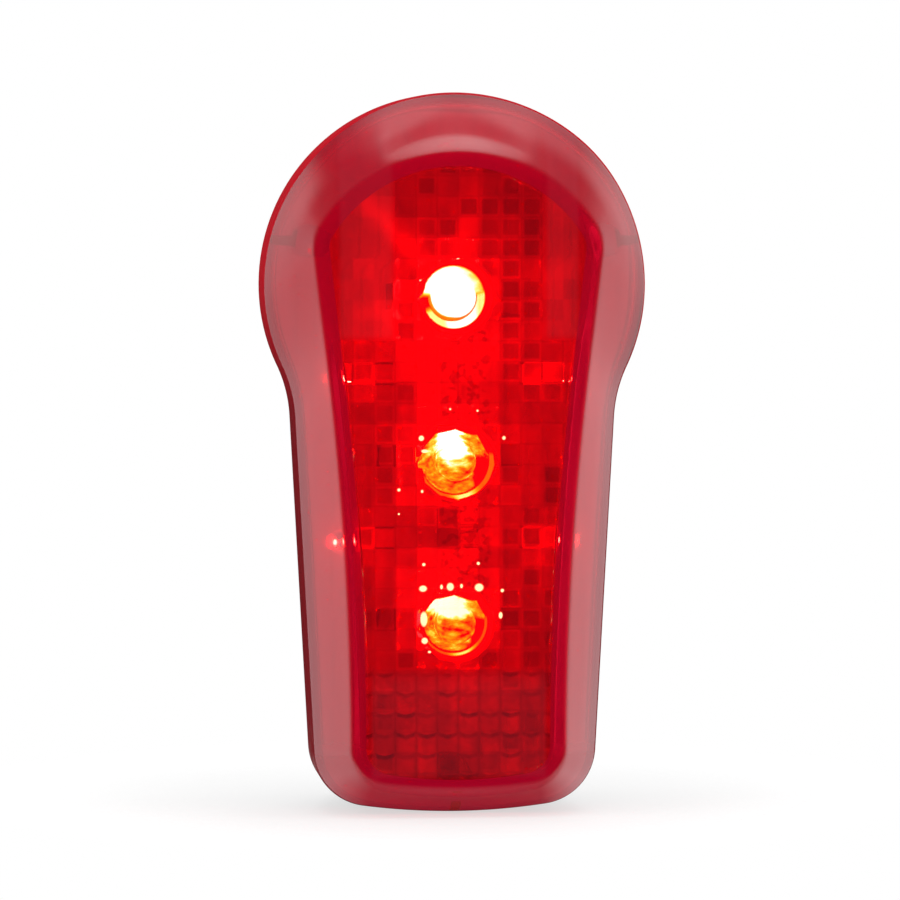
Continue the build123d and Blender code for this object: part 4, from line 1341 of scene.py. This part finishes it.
# %% A white world that is dim behind the camera
def light_tent():
    """World of 1 to the camera. Mirrored, it has bright sides and top, and dims towards the camera.

    A flag darkens its upper left, and diffuse rays find it dimmer all round.
    """
    world = bpy.data.worlds.new("light_tent")
    scene.world = world
    tree = Tree(world)
    x, y, z = tree.parts(tree.add("ShaderNodeTexCoord").outputs["Generated"])
    out = abs(x)
    sides = out.rise(0.62, 0.95)
    top = z.rise(0.5, 0.88, 0.0, 2.0) * z.rise(0.9, 1.0, 1.0, 0.55) * out.rise(0.5, 0.12, 0.12, 1.0)
    flag = x.rise(-0.05, -0.35) * z.rise(0.5, 0.75, 0.0, 0.75)
    depth = y.rise(-1.0, 0.0, 0.015, 1.0) * y.rise(0.3, 0.85, 1.0, 0.12)
    mirrored = (sides + top + 1.2) * (1.0 - flag) * depth
    diffuse, mirror = tree.rays("Is Diffuse Ray", "Is Glossy Ray")
    background = tree.tree.nodes["Background"]
    tree.feed(background.inputs["Color"], (1.0, 1.0, 1.0))
    tree.feed(background.inputs["Strength"], mirror * (mirrored - 1.0) + (diffuse * -0.45 + 1.0))
    print("world:", world.name, "with", len(tree.tree.nodes), "nodes")


light_tent()


# %% Pale floor that keeps the shadow
def pale_floor():
    """Wide square of pale paint under the light, which fades into the white world further out."""
    half = 3.0
    height = foot_z - 0.2 * mm
    mesh = bpy.data.meshes.new("floor")
    corners = [
        (x, y, height) for x, y in ((-half, -half), (half, -half), (half, half), (-half, half))
    ]
    mesh.from_pydata(corners, [], [(0, 1, 2, 3)])
    floor = bpy.data.objects.new("floor", mesh)
    scene.collection.objects.link(floor)
    finish = Finish("pale_floor", (0.42, 0.42, 0.42), 0.9, Specular_IOR_Level=0.0)
    x, y, _ = finish.xyz()
    reach = (x * x + y * y).do("SQRT")
    camera_ray, diffuse, mirror = finish.rays("Is Camera Ray", "Is Diffuse Ray", "Is Glossy Ray")
    beside = abs(x).rise(10 * mm, 22 * mm, 0.0, 1.6)
    mirrored = reach.rise(0.02, 0.06, 0.0, 0.7).do("MAXIMUM", beside)
    strength = camera_ray * 0.62 + mirror * mirrored
    finish.put(Emission_Color=(1.0, 1.0, 1.0), Emission_Strength=strength)
    finish.let_through(reach.rise(0.03, 0.065) * (1.0 - diffuse))
    finish.dress(floor)


pale_floor()

# %% Colours as they are written, and lamps that aren't held back
scene.view_settings.view_transform = "Standard"
scene.cycles.sample_clamp_indirect = 0.0
print("view transform:", scene.view_settings.view_transform)
